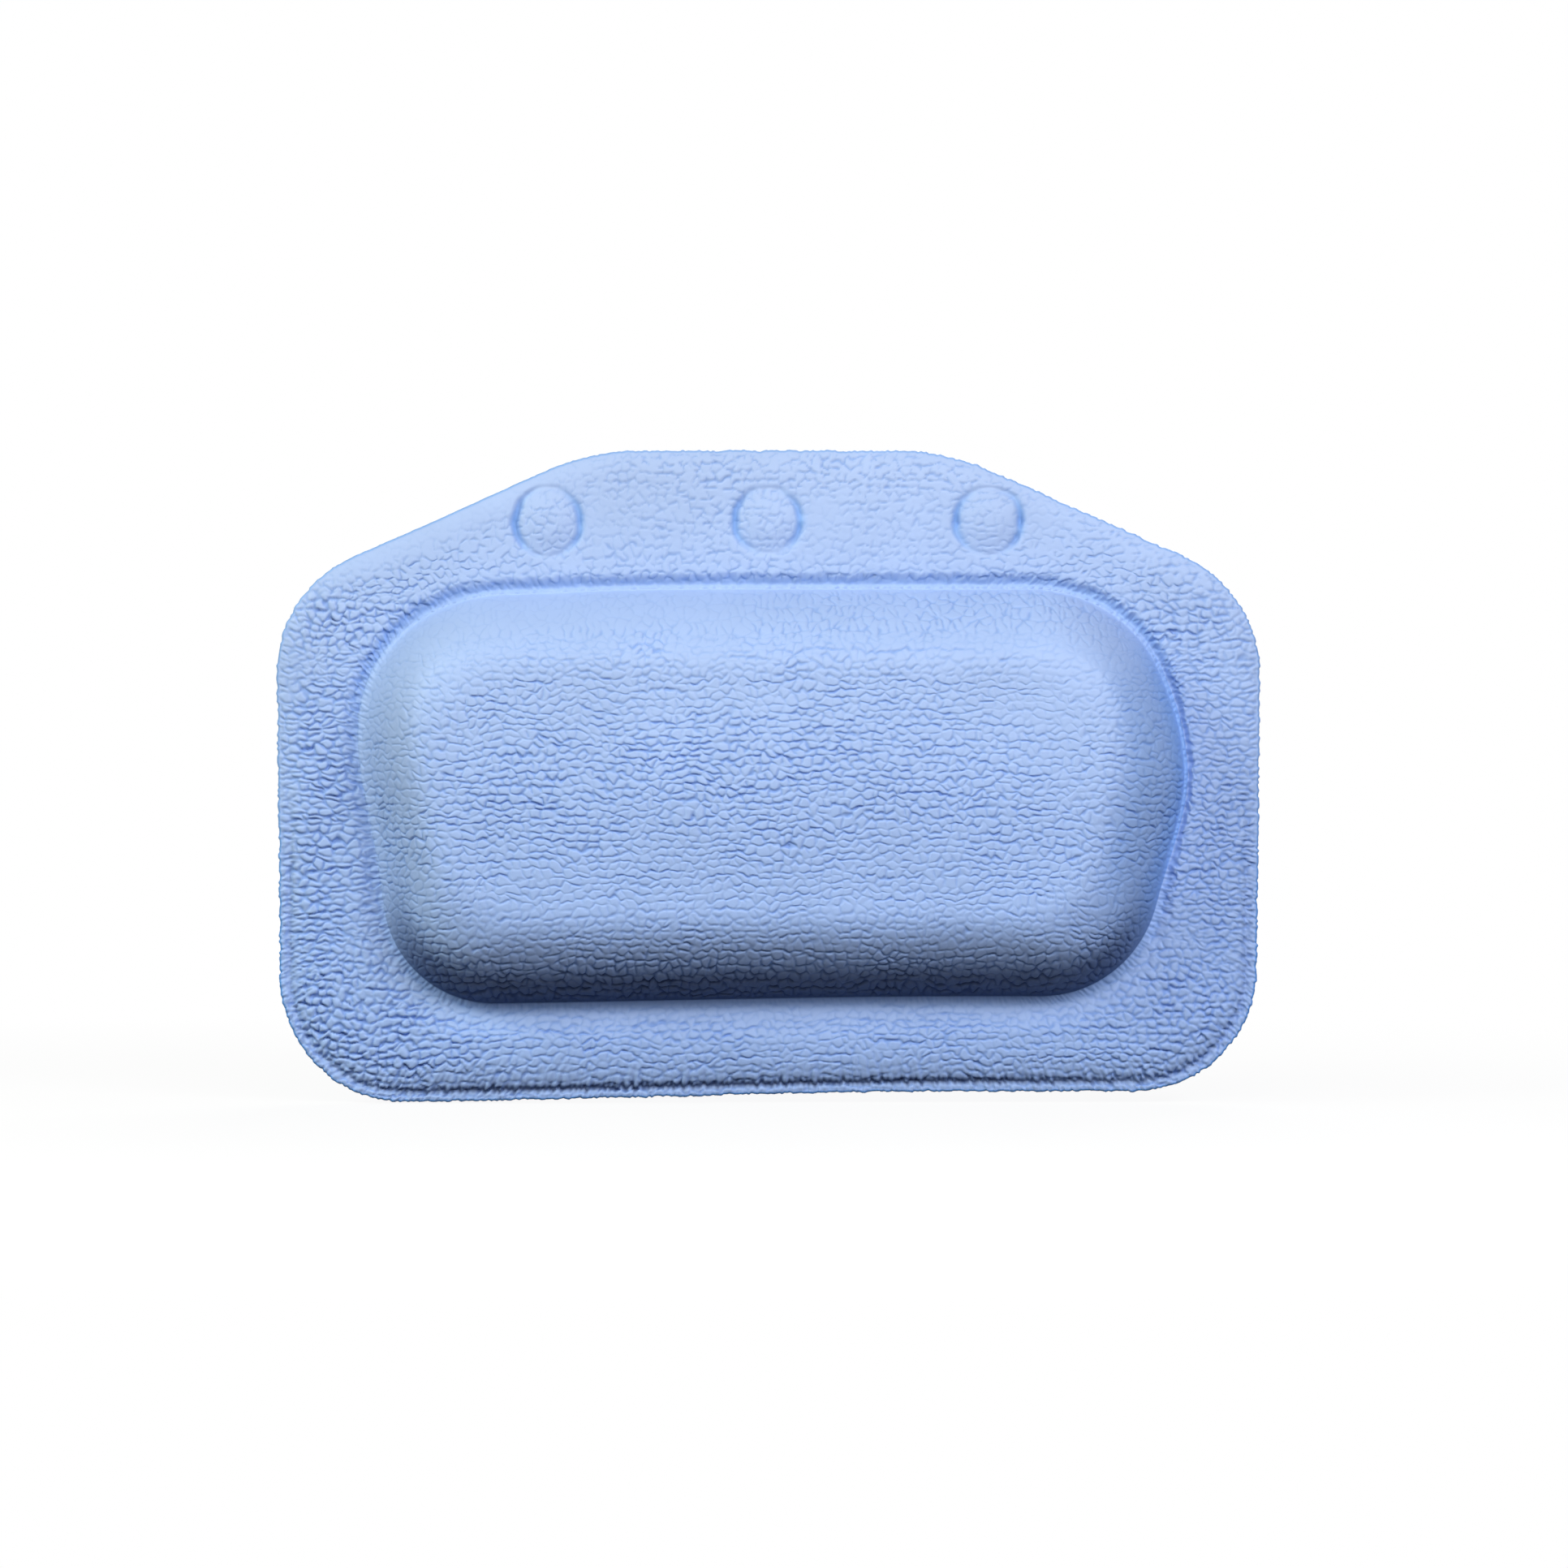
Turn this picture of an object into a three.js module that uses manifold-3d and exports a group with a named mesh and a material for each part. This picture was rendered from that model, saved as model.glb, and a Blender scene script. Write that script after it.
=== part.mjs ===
// A foam bath pillow. A moulded front cover with a raised pad is welded to a flat back cover round
// a foam core, and three suction cups, whose heads are trapped between the covers, hold it to the bath.
// Millimetres, +Z up. The pad faces -Y, the cups stick to a wall at Y = 0, and the origin is the centre
// of the middle cup's contact face.
//
// The covers and the core are laid out in a sheet frame: x across the pillow, y up it and z out towards
// the bather, with z = 0 on the weld plane between the covers. The last lines stand that frame upright.
import * as THREE from "three";
import { mergeVertices } from "three/addons/utils/BufferGeometryUtils.js";
import Module from "manifold-3d";

// Raised pad: the crease where it leaves the flange is a rounded trapezium with upright upper sides.
const PAD_WIDTH = 269;
const PAD_HEIGHT = 134.2;
const PAD_BASE_WIDTH = 239;
const PAD_UPRIGHT_SIDE = 62;
const PAD_TOP_RADIUS = 50;
const PAD_SIDE_RADIUS = 70;
const PAD_BASE_RADIUS = 38;

// Section of the pad: the shoulder's height above the weld plane, its width, and the crown on top.
const PAD_RISE = 31.5;
const PAD_SHOULDER = 31;
const PAD_CROWN = 2;

// Share of its radius that a corner keeps however far its loop is moved inwards.
const CORNER_SHARE = 0.6;

// Flange round the pad: bands at the head, sides and base, and the shape of its outline.
const HEAD_BAND = 43.8;
const SIDE_BAND = 25.5;
const BASE_BAND = 32;
const BASE_TAPER = 1.5;
const TOP_EDGE = 115;
const SLOPE_DROP = 45.5;
const TOP_CORNER_RADIUS = 80;
const SLOPE_CORNER_RADIUS = 42;
const BASE_CORNER_RADIUS = 40;

// Foamed sheet, and the places where welding presses it thin. Along the head the groove inside the rim
// fades into a plain rounded edge, and below the pad the flange rises slowly from the crease.
const FLANGE_THICKNESS = 4.4;
const PAD_SKIN = 3;
const BACK_THICKNESS = 3;
const WELD_THICKNESS = 1.6;
const EDGE_THICKNESS = 3.8;
const CREASE_THICKNESS = 1.9;
const RIM_THICKNESS = 2.4;
const RIM_WIDTH = 4.5;
const RIM_ROUND = 1;
const WELD_BLEND = 4;
const CREASE_BLEND = 4;
const FOOT_BLEND = 11;

// Where the groove and the slow rise start and are whole, by how far a ray points down: -1 at the head,
// 0 at the sides and 1 at the base.
const GROOVE_STARTS = -0.3;
const GROOVE_WHOLE = 0.5;
const FOOT_STARTS = 0.2;
const FOOT_WHOLE = 0.6;

// Suction cups, and the bumps and pinched rings that their heads leave in the front cover.
const CUP_SPACING = 71.5;
const CUP_ABOVE_PAD = 20.8;
const CUP_LIP_DIAMETER = 28;
const CUP_STAND_OFF = 9;
const CUP_HOLLOW_DEPTH = 5.6;
const CUP_LIP_LAND = 1.4;
const CUP_LIP_THICKNESS = 0.9;
const CUP_ROOT_DIAMETER = 11;
const NECK_DIAMETER = 6;
const HEAD_DIAMETER = 15;
const HEAD_THICKNESS = 2.5;
const HEAD_ROUND = 1.2;
const BUMP_RISE = 1.8;
const BUMP_DRAPE = 2;
const RING_WIDTH = 2.4;
const RING_DEPTH = 1.4;
const FIT_GAP = 0.3;

// Facet counts.
const ARC_TURN = 0.2;
const OUTLINE_STEPS = 12;
const LONGEST_STEP = 40;
const OUTER_SHOULDER_STEPS = 6;
const INNER_SHOULDER_STEPS = 5;
const CROWN_STEPS = 3;
const CUP_SIDES = 32;
const CUP_CURVE_STEPS = 5;
const HOLE_SIDES = 20;
const BUMP_STEPS = 3;

// Allowances of the construction: how far cutters overrun, and what counts as the same point.
const CUT_OVERRUN = 1;
const SLIVER = 0.01;
const SAME_POINT = 1e-3;
const RAY_SLACK = 1e-6;

const wasm = await Module();
wasm.setup();
const { Manifold, Mesh: SolidMesh } = wasm;

// Places in the sheet frame, counted from the middle cup's axis.
const padTop = -CUP_ABOVE_PAD;
const padBase = padTop - PAD_HEIGHT;
const padCentre = new THREE.Vector2(0, padTop - PAD_HEIGHT / 2);
const pillowTop = padTop + HEAD_BAND;
const pillowBase = padBase - BASE_BAND;
const pillowHalfWidth = PAD_WIDTH / 2 + SIDE_BAND;

// Corners down the right-hand side, with their fillet radii, made into a whole loop by mirroring.
const mirrored = (right) => [
  ...right,
  ...right.map(({ at, radius }) => ({ at: new THREE.Vector2(-at.x, at.y), radius })).reverse(),
];
const corner = (x, y, radius) => ({ at: new THREE.Vector2(x, y), radius });

const pillowCorners = mirrored([
  corner(TOP_EDGE / 2, pillowTop, TOP_CORNER_RADIUS),
  corner(pillowHalfWidth, pillowTop - SLOPE_DROP, SLOPE_CORNER_RADIUS),
  corner(pillowHalfWidth - BASE_TAPER, pillowBase, BASE_CORNER_RADIUS),
]);
const padCorners = mirrored([
  corner(PAD_WIDTH / 2, padTop, PAD_TOP_RADIUS),
  corner(PAD_WIDTH / 2, padTop - PAD_UPRIGHT_SIDE, PAD_SIDE_RADIUS),
  corner(PAD_BASE_WIDTH / 2, padBase, PAD_BASE_RADIUS),
]);

// The same clockwise loop moved inwards by a distance: each edge slides along its normal, and each
// corner moves to where its two edges meet again. Its radius shrinks by the distance, but keeps a share.
function insetLoop(loop, distance) {
  const at = (i) => loop[(i + loop.length) % loop.length].at;
  const inward = (i) => {
    const along = at(i + 1).clone().sub(at(i)).normalize();
    return new THREE.Vector2(along.y, -along.x);
  };
  return loop.map(({ radius }, i) => {
    const before = inward(i - 1);
    const after = inward(i);
    const shift = before.clone().add(after).multiplyScalar(distance / (1 + before.dot(after)));
    return { at: at(i).clone().add(shift), radius: Math.max(radius - distance, CORNER_SHARE * radius) };
  });
}

// A loop of corners as a three.js path of straight edges and fillet arcs. Where two fillets need more
// than the edge between them, both are made smaller alike.
function loopPath(loop) {
  const corners = loop.map(({ at, radius }, i) => {
    const back = loop.at(i - 1).at.clone().sub(at).normalize();
    const ahead = loop[(i + 1) % loop.length].at.clone().sub(at).normalize();
    const half = Math.abs(back.angleTo(ahead)) / 2;
    return { at, back, ahead, half, reach: radius / Math.tan(half) };
  });
  const share = (one, other) => Math.min(1, one.at.distanceTo(other.at) / (one.reach + other.reach));
  const path = new THREE.Path();
  corners.forEach((one, i) => {
    const { at, back, ahead, half } = one;
    const room = Math.min(share(one, corners.at(i - 1)), share(one, corners[(i + 1) % corners.length]));
    const reach = one.reach * room;
    const start = at.clone().addScaledVector(back, reach);
    const end = at.clone().addScaledVector(ahead, reach);
    const toCentre = back.clone().add(ahead).setLength(reach / Math.cos(half));
    const centre = at.clone().add(toCentre);
    const startAngle = start.clone().sub(centre).angle();
    const endAngle = end.clone().sub(centre).angle();
    if (i === 0) path.moveTo(start.x, start.y);
    else path.lineTo(start.x, start.y);
    path.absarc(centre.x, centre.y, reach * Math.tan(half), startAngle, endAngle, true);
  });
  path.closePath();
  return path;
}

// Points along a closed path: arcs are divided by how far they turn, straight edges by their length.
function pathPoints(path) {
  return path.curves.flatMap((curve) => {
    const length = curve.getLength();
    const steps = curve.isEllipseCurve ? length / curve.xRadius / ARC_TURN : length / LONGEST_STEP;
    return curve.getPoints(Math.max(1, Math.ceil(steps))).slice(0, -1);
  });
}

// Every ring of a cover or core has one point on each of these rays from the pad's centre.
const rays = pathPoints(loopPath(pillowCorners))
  .filter((point, i, all) => point.distanceTo(all.at(i - 1)) > SAME_POINT)
  .map((point) => point.sub(padCentre).normalize());

// How far from the pad's centre a ray leaves a closed outline.
function reachAlong(ray, outline) {
  let reach = 0;
  outline.forEach((from, i) => {
    const side = outline[(i + 1) % outline.length].clone().sub(from);
    const toFrom = from.clone().sub(padCentre);
    const turn = ray.cross(side);
    if (turn === 0) return;
    const fromMiddle = Math.abs(toFrom.cross(ray) / turn - 0.5);
    if (fromMiddle < 0.5 + RAY_SLACK) reach = Math.max(reach, toFrom.cross(side) / turn);
  });
  return reach;
}

// A ring that follows a loop of corners, a distance inside it and at a height above the weld plane.
function ringInside(loop, inset, height) {
  const outline = loopPath(insetLoop(loop, inset)).getPoints(OUTLINE_STEPS);
  return rays.map((ray) => {
    const point = ray.clone().multiplyScalar(reachAlong(ray, outline)).add(padCentre);
    return new THREE.Vector3(point.x, point.y, height);
  });
}

// A ring that is one ring towards the head and another towards the base, where a ray's downward part
// passes from one limit to the other.
const ringBetween = (upper, lower, from, to) =>
  upper.map((point, i) => point.clone().lerp(lower[i], THREE.MathUtils.smoothstep(-rays[i].y, from, to)));

// A ring shrunk towards the pad's centre, at another height.
const shrunkRing = (ring, share, height) =>
  ring.map(({ x, y }) => {
    const point = new THREE.Vector2(x, y).sub(padCentre).multiplyScalar(share).add(padCentre);
    return new THREE.Vector3(point.x, point.y, height);
  });
const poleAt = (height) => [new THREE.Vector3(padCentre.x, padCentre.y, height)];

// A closed skin through a list of rings, each four-sided patch split along its shorter diagonal.
// The first and last rings may be single points. Where they are not, the last joins back on to the first.
function skinThrough(rings) {
  const loops = rings[0].length === 1 ? rings : [...rings, rings[0]];
  const triangles = [];
  loops.slice(1).forEach((upper, i) => {
    const lower = loops[i];
    rays.forEach((_, k) => {
      const next = (k + 1) % rays.length;
      const [a, b] = lower.length === 1 ? [lower[0], lower[0]] : [lower[k], lower[next]];
      const [c, d] = upper.length === 1 ? [upper[0], upper[0]] : [upper[k], upper[next]];
      const [low, high] = a.distanceTo(d) < b.distanceTo(c) ? [a, d] : [b, c];
      if (a !== b) triangles.push(a, high, b);
      if (c !== d) triangles.push(low, c, d);
    });
  });
  return new THREE.BufferGeometry().setFromPoints(triangles);
}

// Rings up the pad's shoulder, then over its crown to the pole. The shoulder is steepest at the crease,
// and its slope falls to level as a smooth step does, so its height is a polynomial of the fourth degree.
// The skin's thickness is taken off everywhere, so the same formula gives the cover's inside and the core.
function padRings(skin, foot, steps) {
  const top = PAD_RISE - skin;
  const shoulder = Array.from({ length: steps + 1 }, (_, i) => {
    const share = i / steps;
    const inset = skin + (PAD_SHOULDER - skin) * share;
    return ringInside(padCorners, inset, foot + (top - foot) * (2 * share - 2 * share ** 3 + share ** 4));
  });
  const crownAt = (share) => top + (PAD_CROWN * (1 + Math.cos(Math.PI * share))) / 2;
  const crown = Array.from({ length: CROWN_STEPS - 1 }, (_, i) => {
    const share = 1 - (i + 1) / CROWN_STEPS;
    return shrunkRing(shoulder.at(-1), share, crownAt(share));
  });
  return [...shoulder, ...crown, poleAt(crownAt(0))];
}

// A geometry as a solid that can be joined and cut, and the way back.
function solidFrom(geometry) {
  const bare = geometry.index ? geometry.toNonIndexed() : geometry.clone();
  bare.deleteAttribute("normal");
  bare.deleteAttribute("uv");
  const merged = mergeVertices(bare, SAME_POINT);
  return new Manifold(
    new SolidMesh({
      numProp: 3,
      vertProperties: merged.attributes.position.array,
      triVerts: new Uint32Array(merged.index.array),
    }),
  );
}
function geometryFrom(solid) {
  const { vertProperties, triVerts } = solid.asOriginal().simplify(SLIVER).getMesh();
  const geometry = new THREE.BufferGeometry();
  geometry.setAttribute("position", new THREE.BufferAttribute(vertProperties, 3));
  geometry.setIndex(new THREE.BufferAttribute(triVerts, 1));
  geometry.computeVertexNormals();
  return geometry;
}

// A profile of radius and height turned about a cup's axis, as a solid in the sheet frame.
function turnedSolid(profile, cupX) {
  const turned = new THREE.LatheGeometry(profile.getPoints(BUMP_STEPS), HOLE_SIDES);
  return solidFrom(turned.rotateX(Math.PI / 2).translate(cupX, 0, 0));
}

// A round cutter on a cup's axis, between two heights in the sheet frame.
function drill(radius, bottom, top, cupX) {
  const profile = new THREE.Path();
  profile.moveTo(0, bottom);
  profile.lineTo(radius, bottom);
  profile.lineTo(radius, top);
  profile.lineTo(0, top);
  return turnedSolid(profile, cupX);
}

const cupSides = { left: -1, centre: 0, right: 1 };
const cupPlaces = Object.values(cupSides).map((side) => side * CUP_SPACING);

// Front cover: rim, welded groove, flange, crease and pad outside, and the core's cavity inside.
function frontCover() {
  const outside = [
    ringInside(pillowCorners, 0, 0),
    ringInside(pillowCorners, 0, RIM_THICKNESS - RIM_ROUND),
    ringInside(pillowCorners, RIM_ROUND, RIM_THICKNESS),
    ringBetween(
      ringInside(pillowCorners, RIM_WIDTH, EDGE_THICKNESS),
      ringInside(pillowCorners, RIM_WIDTH, WELD_THICKNESS),
      GROOVE_STARTS,
      GROOVE_WHOLE,
    ),
    ringInside(pillowCorners, RIM_WIDTH + WELD_BLEND, FLANGE_THICKNESS),
    ringBetween(
      ringInside(padCorners, -CREASE_BLEND, FLANGE_THICKNESS),
      ringInside(padCorners, -FOOT_BLEND, FLANGE_THICKNESS),
      FOOT_STARTS,
      FOOT_WHOLE,
    ),
    ...padRings(0, CREASE_THICKNESS, OUTER_SHOULDER_STEPS),
  ];
  const inside = padRings(PAD_SKIN, 0, INNER_SHOULDER_STEPS).reverse();
  const shell = skinThrough([...outside, ...inside]);
  return geometryFrom(cupPlaces.reduce(withCupBump, solidFrom(shell)));
}

// The bump over a cup's head, the ring pinched round it, and the pocket that the head lies in.
function withCupBump(cover, cupX) {
  const bumpRadius = HEAD_DIAMETER / 2 + BUMP_DRAPE;
  const bumpTop = FLANGE_THICKNESS + BUMP_RISE;
  const bump = new THREE.Path();
  bump.moveTo(0, WELD_THICKNESS);
  bump.lineTo(bumpRadius, WELD_THICKNESS);
  bump.lineTo(bumpRadius, FLANGE_THICKNESS);
  bump.quadraticCurveTo(bumpRadius - BUMP_DRAPE, bumpTop, bumpRadius - 2 * BUMP_DRAPE, bumpTop);
  bump.lineTo(0, bumpTop);

  const ringRadius = bumpRadius + RING_WIDTH;
  const ring = new THREE.Path();
  ring.moveTo((bumpRadius + ringRadius) / 2, FLANGE_THICKNESS - RING_DEPTH);
  ring.lineTo(ringRadius, FLANGE_THICKNESS);
  ring.lineTo(ringRadius, bumpTop);
  ring.lineTo(bumpRadius, bumpTop);
  ring.lineTo(bumpRadius, FLANGE_THICKNESS);
  ring.closePath();

  const pocketRadius = HEAD_DIAMETER / 2 + FIT_GAP;
  const pocketTop = FIT_GAP + HEAD_THICKNESS + FIT_GAP;
  return cover
    .add(turnedSolid(bump, cupX))
    .subtract(turnedSolid(ring, cupX))
    .subtract(drill(pocketRadius, -CUT_OVERRUN, pocketTop, cupX));
}

// Back cover: a flat sheet, thinned at the welded rim, with a hole for each cup's neck.
function backCover() {
  const sheet = skinThrough([
    poleAt(-BACK_THICKNESS),
    ringInside(pillowCorners, RIM_WIDTH + WELD_BLEND, -BACK_THICKNESS),
    ringInside(pillowCorners, RIM_WIDTH, -WELD_THICKNESS),
    ringInside(pillowCorners, RIM_ROUND, -RIM_THICKNESS),
    ringInside(pillowCorners, 0, RIM_ROUND - RIM_THICKNESS),
    ringInside(pillowCorners, 0, 0),
    poleAt(0),
  ]);
  const holeRadius = NECK_DIAMETER / 2 + FIT_GAP;
  const drilled = cupPlaces.reduce(
    (cover, cupX) => cover.subtract(drill(holeRadius, -BACK_THICKNESS - CUT_OVERRUN, CUT_OVERRUN, cupX)),
    solidFrom(sheet),
  );
  return geometryFrom(drilled);
}

// Foam core: fills the cavity, with a small gap to both covers.
function foamCore() {
  return skinThrough([poleAt(FIT_GAP), ...padRings(PAD_SKIN + FIT_GAP, FIT_GAP, INNER_SHOULDER_STEPS)]);
}

// Suction cup, turned in one piece: a flat head, a neck through the back cover and a flared cup with a
// hollow face. Height 0 is the weld plane, and height grows towards the wall.
function suctionCup() {
  const headRadius = HEAD_DIAMETER / 2;
  const neckRadius = NECK_DIAMETER / 2;
  const rootRadius = CUP_ROOT_DIAMETER / 2;
  const lipRadius = CUP_LIP_DIAMETER / 2;
  const headFront = -FIT_GAP - HEAD_THICKNESS;
  const rootFront = BACK_THICKNESS + FIT_GAP;
  const lipFace = BACK_THICKNESS + CUP_STAND_OFF;
  const lipFront = lipFace - CUP_LIP_THICKNESS;
  const hollowApex = lipFace - CUP_HOLLOW_DEPTH;
  const hollowRadius = lipRadius - CUP_LIP_LAND;
  const profile = new THREE.Path();
  profile.moveTo(0, headFront);
  profile.lineTo(headRadius - HEAD_ROUND, headFront);
  profile.quadraticCurveTo(headRadius, headFront, headRadius, headFront + HEAD_ROUND);
  profile.lineTo(headRadius, -FIT_GAP);
  profile.lineTo(neckRadius, -FIT_GAP);
  profile.lineTo(neckRadius, rootFront);
  profile.lineTo(rootRadius, rootFront);
  profile.quadraticCurveTo(rootRadius, (rootFront + lipFront) / 2, lipRadius, lipFront);
  profile.lineTo(lipRadius, lipFace);
  profile.lineTo(hollowRadius, lipFace);
  profile.quadraticCurveTo(hollowRadius / 2, hollowApex, 0, hollowApex);
  return new THREE.LatheGeometry(profile.getPoints(CUP_CURVE_STEPS), CUP_SIDES);
}

// Materials.
const foamedVinyl = (color) => new THREE.MeshStandardMaterial({ color, roughness: 0.6, metalness: 0 });
const frontVinyl = foamedVinyl(0xa9c1ee);
const backVinyl = foamedVinyl(0xa3bbe8);
const openFoam = new THREE.MeshStandardMaterial({ color: 0xf0ead6, roughness: 0.95, metalness: 0 });
const clearVinyl = new THREE.MeshStandardMaterial({
  color: 0xdde6ea,
  roughness: 0.2,
  metalness: 0,
  transparent: true,
  opacity: 0.5,
});

function named(name, geometry, material) {
  const mesh = new THREE.Mesh(geometry, material);
  mesh.name = name;
  return mesh;
}

// The covers and core stand upright in front of the wall, and the cups reach back to it.
const bathPillow = new THREE.Group();
const sheetFrame = new THREE.Group();
sheetFrame.rotation.x = Math.PI / 2;
sheetFrame.position.y = -BACK_THICKNESS - CUP_STAND_OFF;
sheetFrame.add(
  named("front_cover", frontCover(), frontVinyl),
  named("back_cover", backCover(), backVinyl),
  named("foam_core", foamCore(), openFoam),
);
bathPillow.add(sheetFrame);
for (const [side, step] of Object.entries(cupSides)) {
  const cup = named(`suction_cup_${side}`, suctionCup(), clearVinyl);
  cup.position.set(step * CUP_SPACING, sheetFrame.position.y, 0);
  bathPillow.add(cup);
}

export default bathPillow;
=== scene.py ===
"""A foam bath pillow: grained vinyl covers, a foam core and three suction cups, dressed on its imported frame.

The covers are laid out in a sheet: across the pillow, up it, and a height out of the weld plane between
the covers, which is positive towards the bather. Lengths are in metres.
"""

import math

import bpy
import numpy as np
from bpy.props import FloatProperty, FloatVectorProperty, IntProperty, PointerProperty
from bpy.types import Operator, Panel, PropertyGroup
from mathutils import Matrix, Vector
from mathutils.geometry import delaunay_2d_cdt


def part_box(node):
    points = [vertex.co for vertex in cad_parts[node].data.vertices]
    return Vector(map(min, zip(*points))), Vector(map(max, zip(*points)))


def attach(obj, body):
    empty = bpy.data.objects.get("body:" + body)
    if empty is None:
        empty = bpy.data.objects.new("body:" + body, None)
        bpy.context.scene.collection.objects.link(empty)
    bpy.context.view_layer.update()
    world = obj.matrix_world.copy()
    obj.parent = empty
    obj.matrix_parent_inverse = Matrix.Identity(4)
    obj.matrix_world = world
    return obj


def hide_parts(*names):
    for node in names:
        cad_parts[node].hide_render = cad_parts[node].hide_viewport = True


bl_info = {
    "name": "Bath pillow",
    "version": (1, 0, 0),
    "blender": (4, 5, 0),
    "location": "View3D > Sidebar > Bath pillow",
    "description": "Builds a grained vinyl bath pillow with a foam core and suction cups on its frame",
    "category": "Object",
}

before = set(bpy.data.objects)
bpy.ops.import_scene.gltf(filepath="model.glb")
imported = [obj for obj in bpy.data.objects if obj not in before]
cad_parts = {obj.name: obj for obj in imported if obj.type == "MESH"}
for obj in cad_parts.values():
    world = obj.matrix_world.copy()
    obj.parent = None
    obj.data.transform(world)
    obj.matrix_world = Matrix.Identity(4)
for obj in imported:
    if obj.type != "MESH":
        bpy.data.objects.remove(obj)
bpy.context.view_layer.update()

MM = 0.001
FRONT_LOW, FRONT_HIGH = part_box("front_cover")
BACK_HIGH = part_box("back_cover")[1]
WELD_Y = FRONT_HIGH.y
BACK_THICK = BACK_HIGH.y - WELD_Y
CUP_SIDES = ("left", "centre", "right")
CUP_X = [sum(corner.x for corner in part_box(f"suction_cup_{side}")) / 2 for side in CUP_SIDES]
WHITE = (1.0, 1.0, 1.0, 1.0)

# Corners of each loop run clockwise from the upper right. A ring along a loop is divided into a top, a
# right, a bottom and a left side, which start in the middle of these corners.
PAD_STARTS = (5, 0, 2, 3)
OUTLINE_STARTS = (4, 1, 2, 3)

# Points of a fillet, and the least share of its radius that it keeps where its loop moves inwards.
ARC_POINTS = 33
CORNER_KEEP = 0.6

# Ways out of the pad, across and up the sheet.
LEFT, RIGHT, DOWN, UP = (-1, 0), (1, 0), (0, -1), (0, 1)

# Below the pad and round its lower corners, as FrontSheet.facing takes it.
LOWER_PART = (DOWN, -0.4, 0.6)

# Samples of the shoulder's section, rings in each part of the front cover from there out to the edge, and
# rings inside the pad.
SECTION_SAMPLES = 400
SHOULDER_ROWS = 118
CREASE_ROWS = 20
BAND_ROWS = 56
RIM_ROWS = 20
EDGE_ROWS = 5
INNER_ROWS = 13

# Rings of the back cover's rim and across its pressed line, and the lattice of points between.
BACK_RIM_ROWS = 18
LINE_ROWS = 9
LATTICE_STEP = 3.2 * MM
LATTICE_COLUMNS = np.arange(-50, 51)
LATTICE_ROWS = np.arange(-60, 9)

# Points along the top, right, bottom and left of a ring, round a hole or a cup, and along each curve and
# each fillet of a cup's profile.
CAVITY_COUNTS = (60, 25, 60, 25)
CORE_COUNTS = (150, 62, 150, 62)
LINE_COUNTS = (160, 66, 160, 66)
HOLE_POINTS = 48
CUP_POINTS = 96
CURVE_POINTS = 24
FILLET_POINTS = 6

# How far rings follow the crease out, the outline in, in front and behind, and the pressed line to both
# sides.
CREASE_BAND = 7 * MM
RIM_BAND = 9.5 * MM
BACK_RIM_BAND = 9 * MM
LINE_BAND = 3 * MM

# The edge: the radius of its round, where its middle ring lies, and how far in the rough trim reaches.
EDGE_ROUND = 1 * MM
EDGE_MIDDLE = 0.45
FRAY_REACH = 4 * MM

# The crease: how much higher it lies on the left, the height of the bead along it, and how far the flange's
# pebbles reach into it.
LEFT_LIFT = 0.9 * MM
BEAD_HEIGHT = 0.55 * MM
SCALLOP_REACH = 0.24 * MM

# Widths of the rounded upper edge and of the flat top of a bump.
PLAIN_ROLL = 9 * MM
BUMP_TOP = 3 * MM

# How far the welded groove and the bumps' rings wander, and the height of the cover's slow waves.
WELD_WANDER = 0.45 * MM
RING_WANDER = 0.45 * MM
WAVE_HEIGHT = 0.35 * MM

# How far noise moves the pebbles, from one to the next and over several.
FINE_BEND = 0.25 * MM
BROAD_BEND = 1.4 * MM

# Upward part of the way out of the pad at the flange's lower corners, and how far it spreads there.
LOWER_CORNERS = (-0.6, 0.3)

# Shares of the grain that heat and pressing took away.
SMOOTHED = {
    "lower corners": 0.55,
    "left edge": 0.3,
    "foot": 0.75,
    "clean-cut edge": 0.8,
    "beside a bump": 0.6,
    "bump's ring": 0.6,
}

# Depth of the pressed line, and how wide the back cover's face rolls over to its rim.
LINE_DEPTH = 0.5 * MM
BACK_ROLL = 3.6 * MM

# Fillets down a cup's head and neck, and at its lip.
STEM_FILLETS = (1.2 * MM, 0.3 * MM, 0.2 * MM, 0.2 * MM)
LIP_FILLET = 0.35 * MM

# Power of the half wave that swells the pad's top from side to side.
CROWN_POWER = 1.2

# Share of the walls' extra length that the sheet had before moulding, the rest being stretch.
WALL_SLACK = 0.22

# Spread of the blended slopes that wavy noise is divided by.
SLOPE_SPREAD = 0.216

# Seeds of the noises, so that every run gives the same pillow. A pebbled skin takes a few from its own on.
SEEDS = {
    "edge waves": 3,
    "edge nicks": 4,
    "pebbles": 5,
    "wrinkles": 9,
    "drawn pebbles": 13,
    "flat pebbles": 17,
    "fine bend": 21,
    "fine lift": 22,
    "broad bend": 23,
    "broad lift": 24,
    "uneven grain": 31,
    "lean": 41,
    "folds": 42,
    "fringe": 43,
    "weld": 44,
    "scallops": 45,
    "serrated": 46,
    "waves": 51,
    "ring": 55,
    "broken ring": 56,
    "back": 61,
}


def length(name, description, metres):
    """A property that holds a length in metres."""
    return FloatProperty(name=name, description=description, default=metres, unit="LENGTH", precision=4)


def colour(name, description, rgb):
    """A property that holds a linear colour."""
    return FloatVectorProperty(
        name=name, description=description, default=rgb, size=3, min=0.0, max=1.0, subtype="COLOR"
    )


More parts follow.
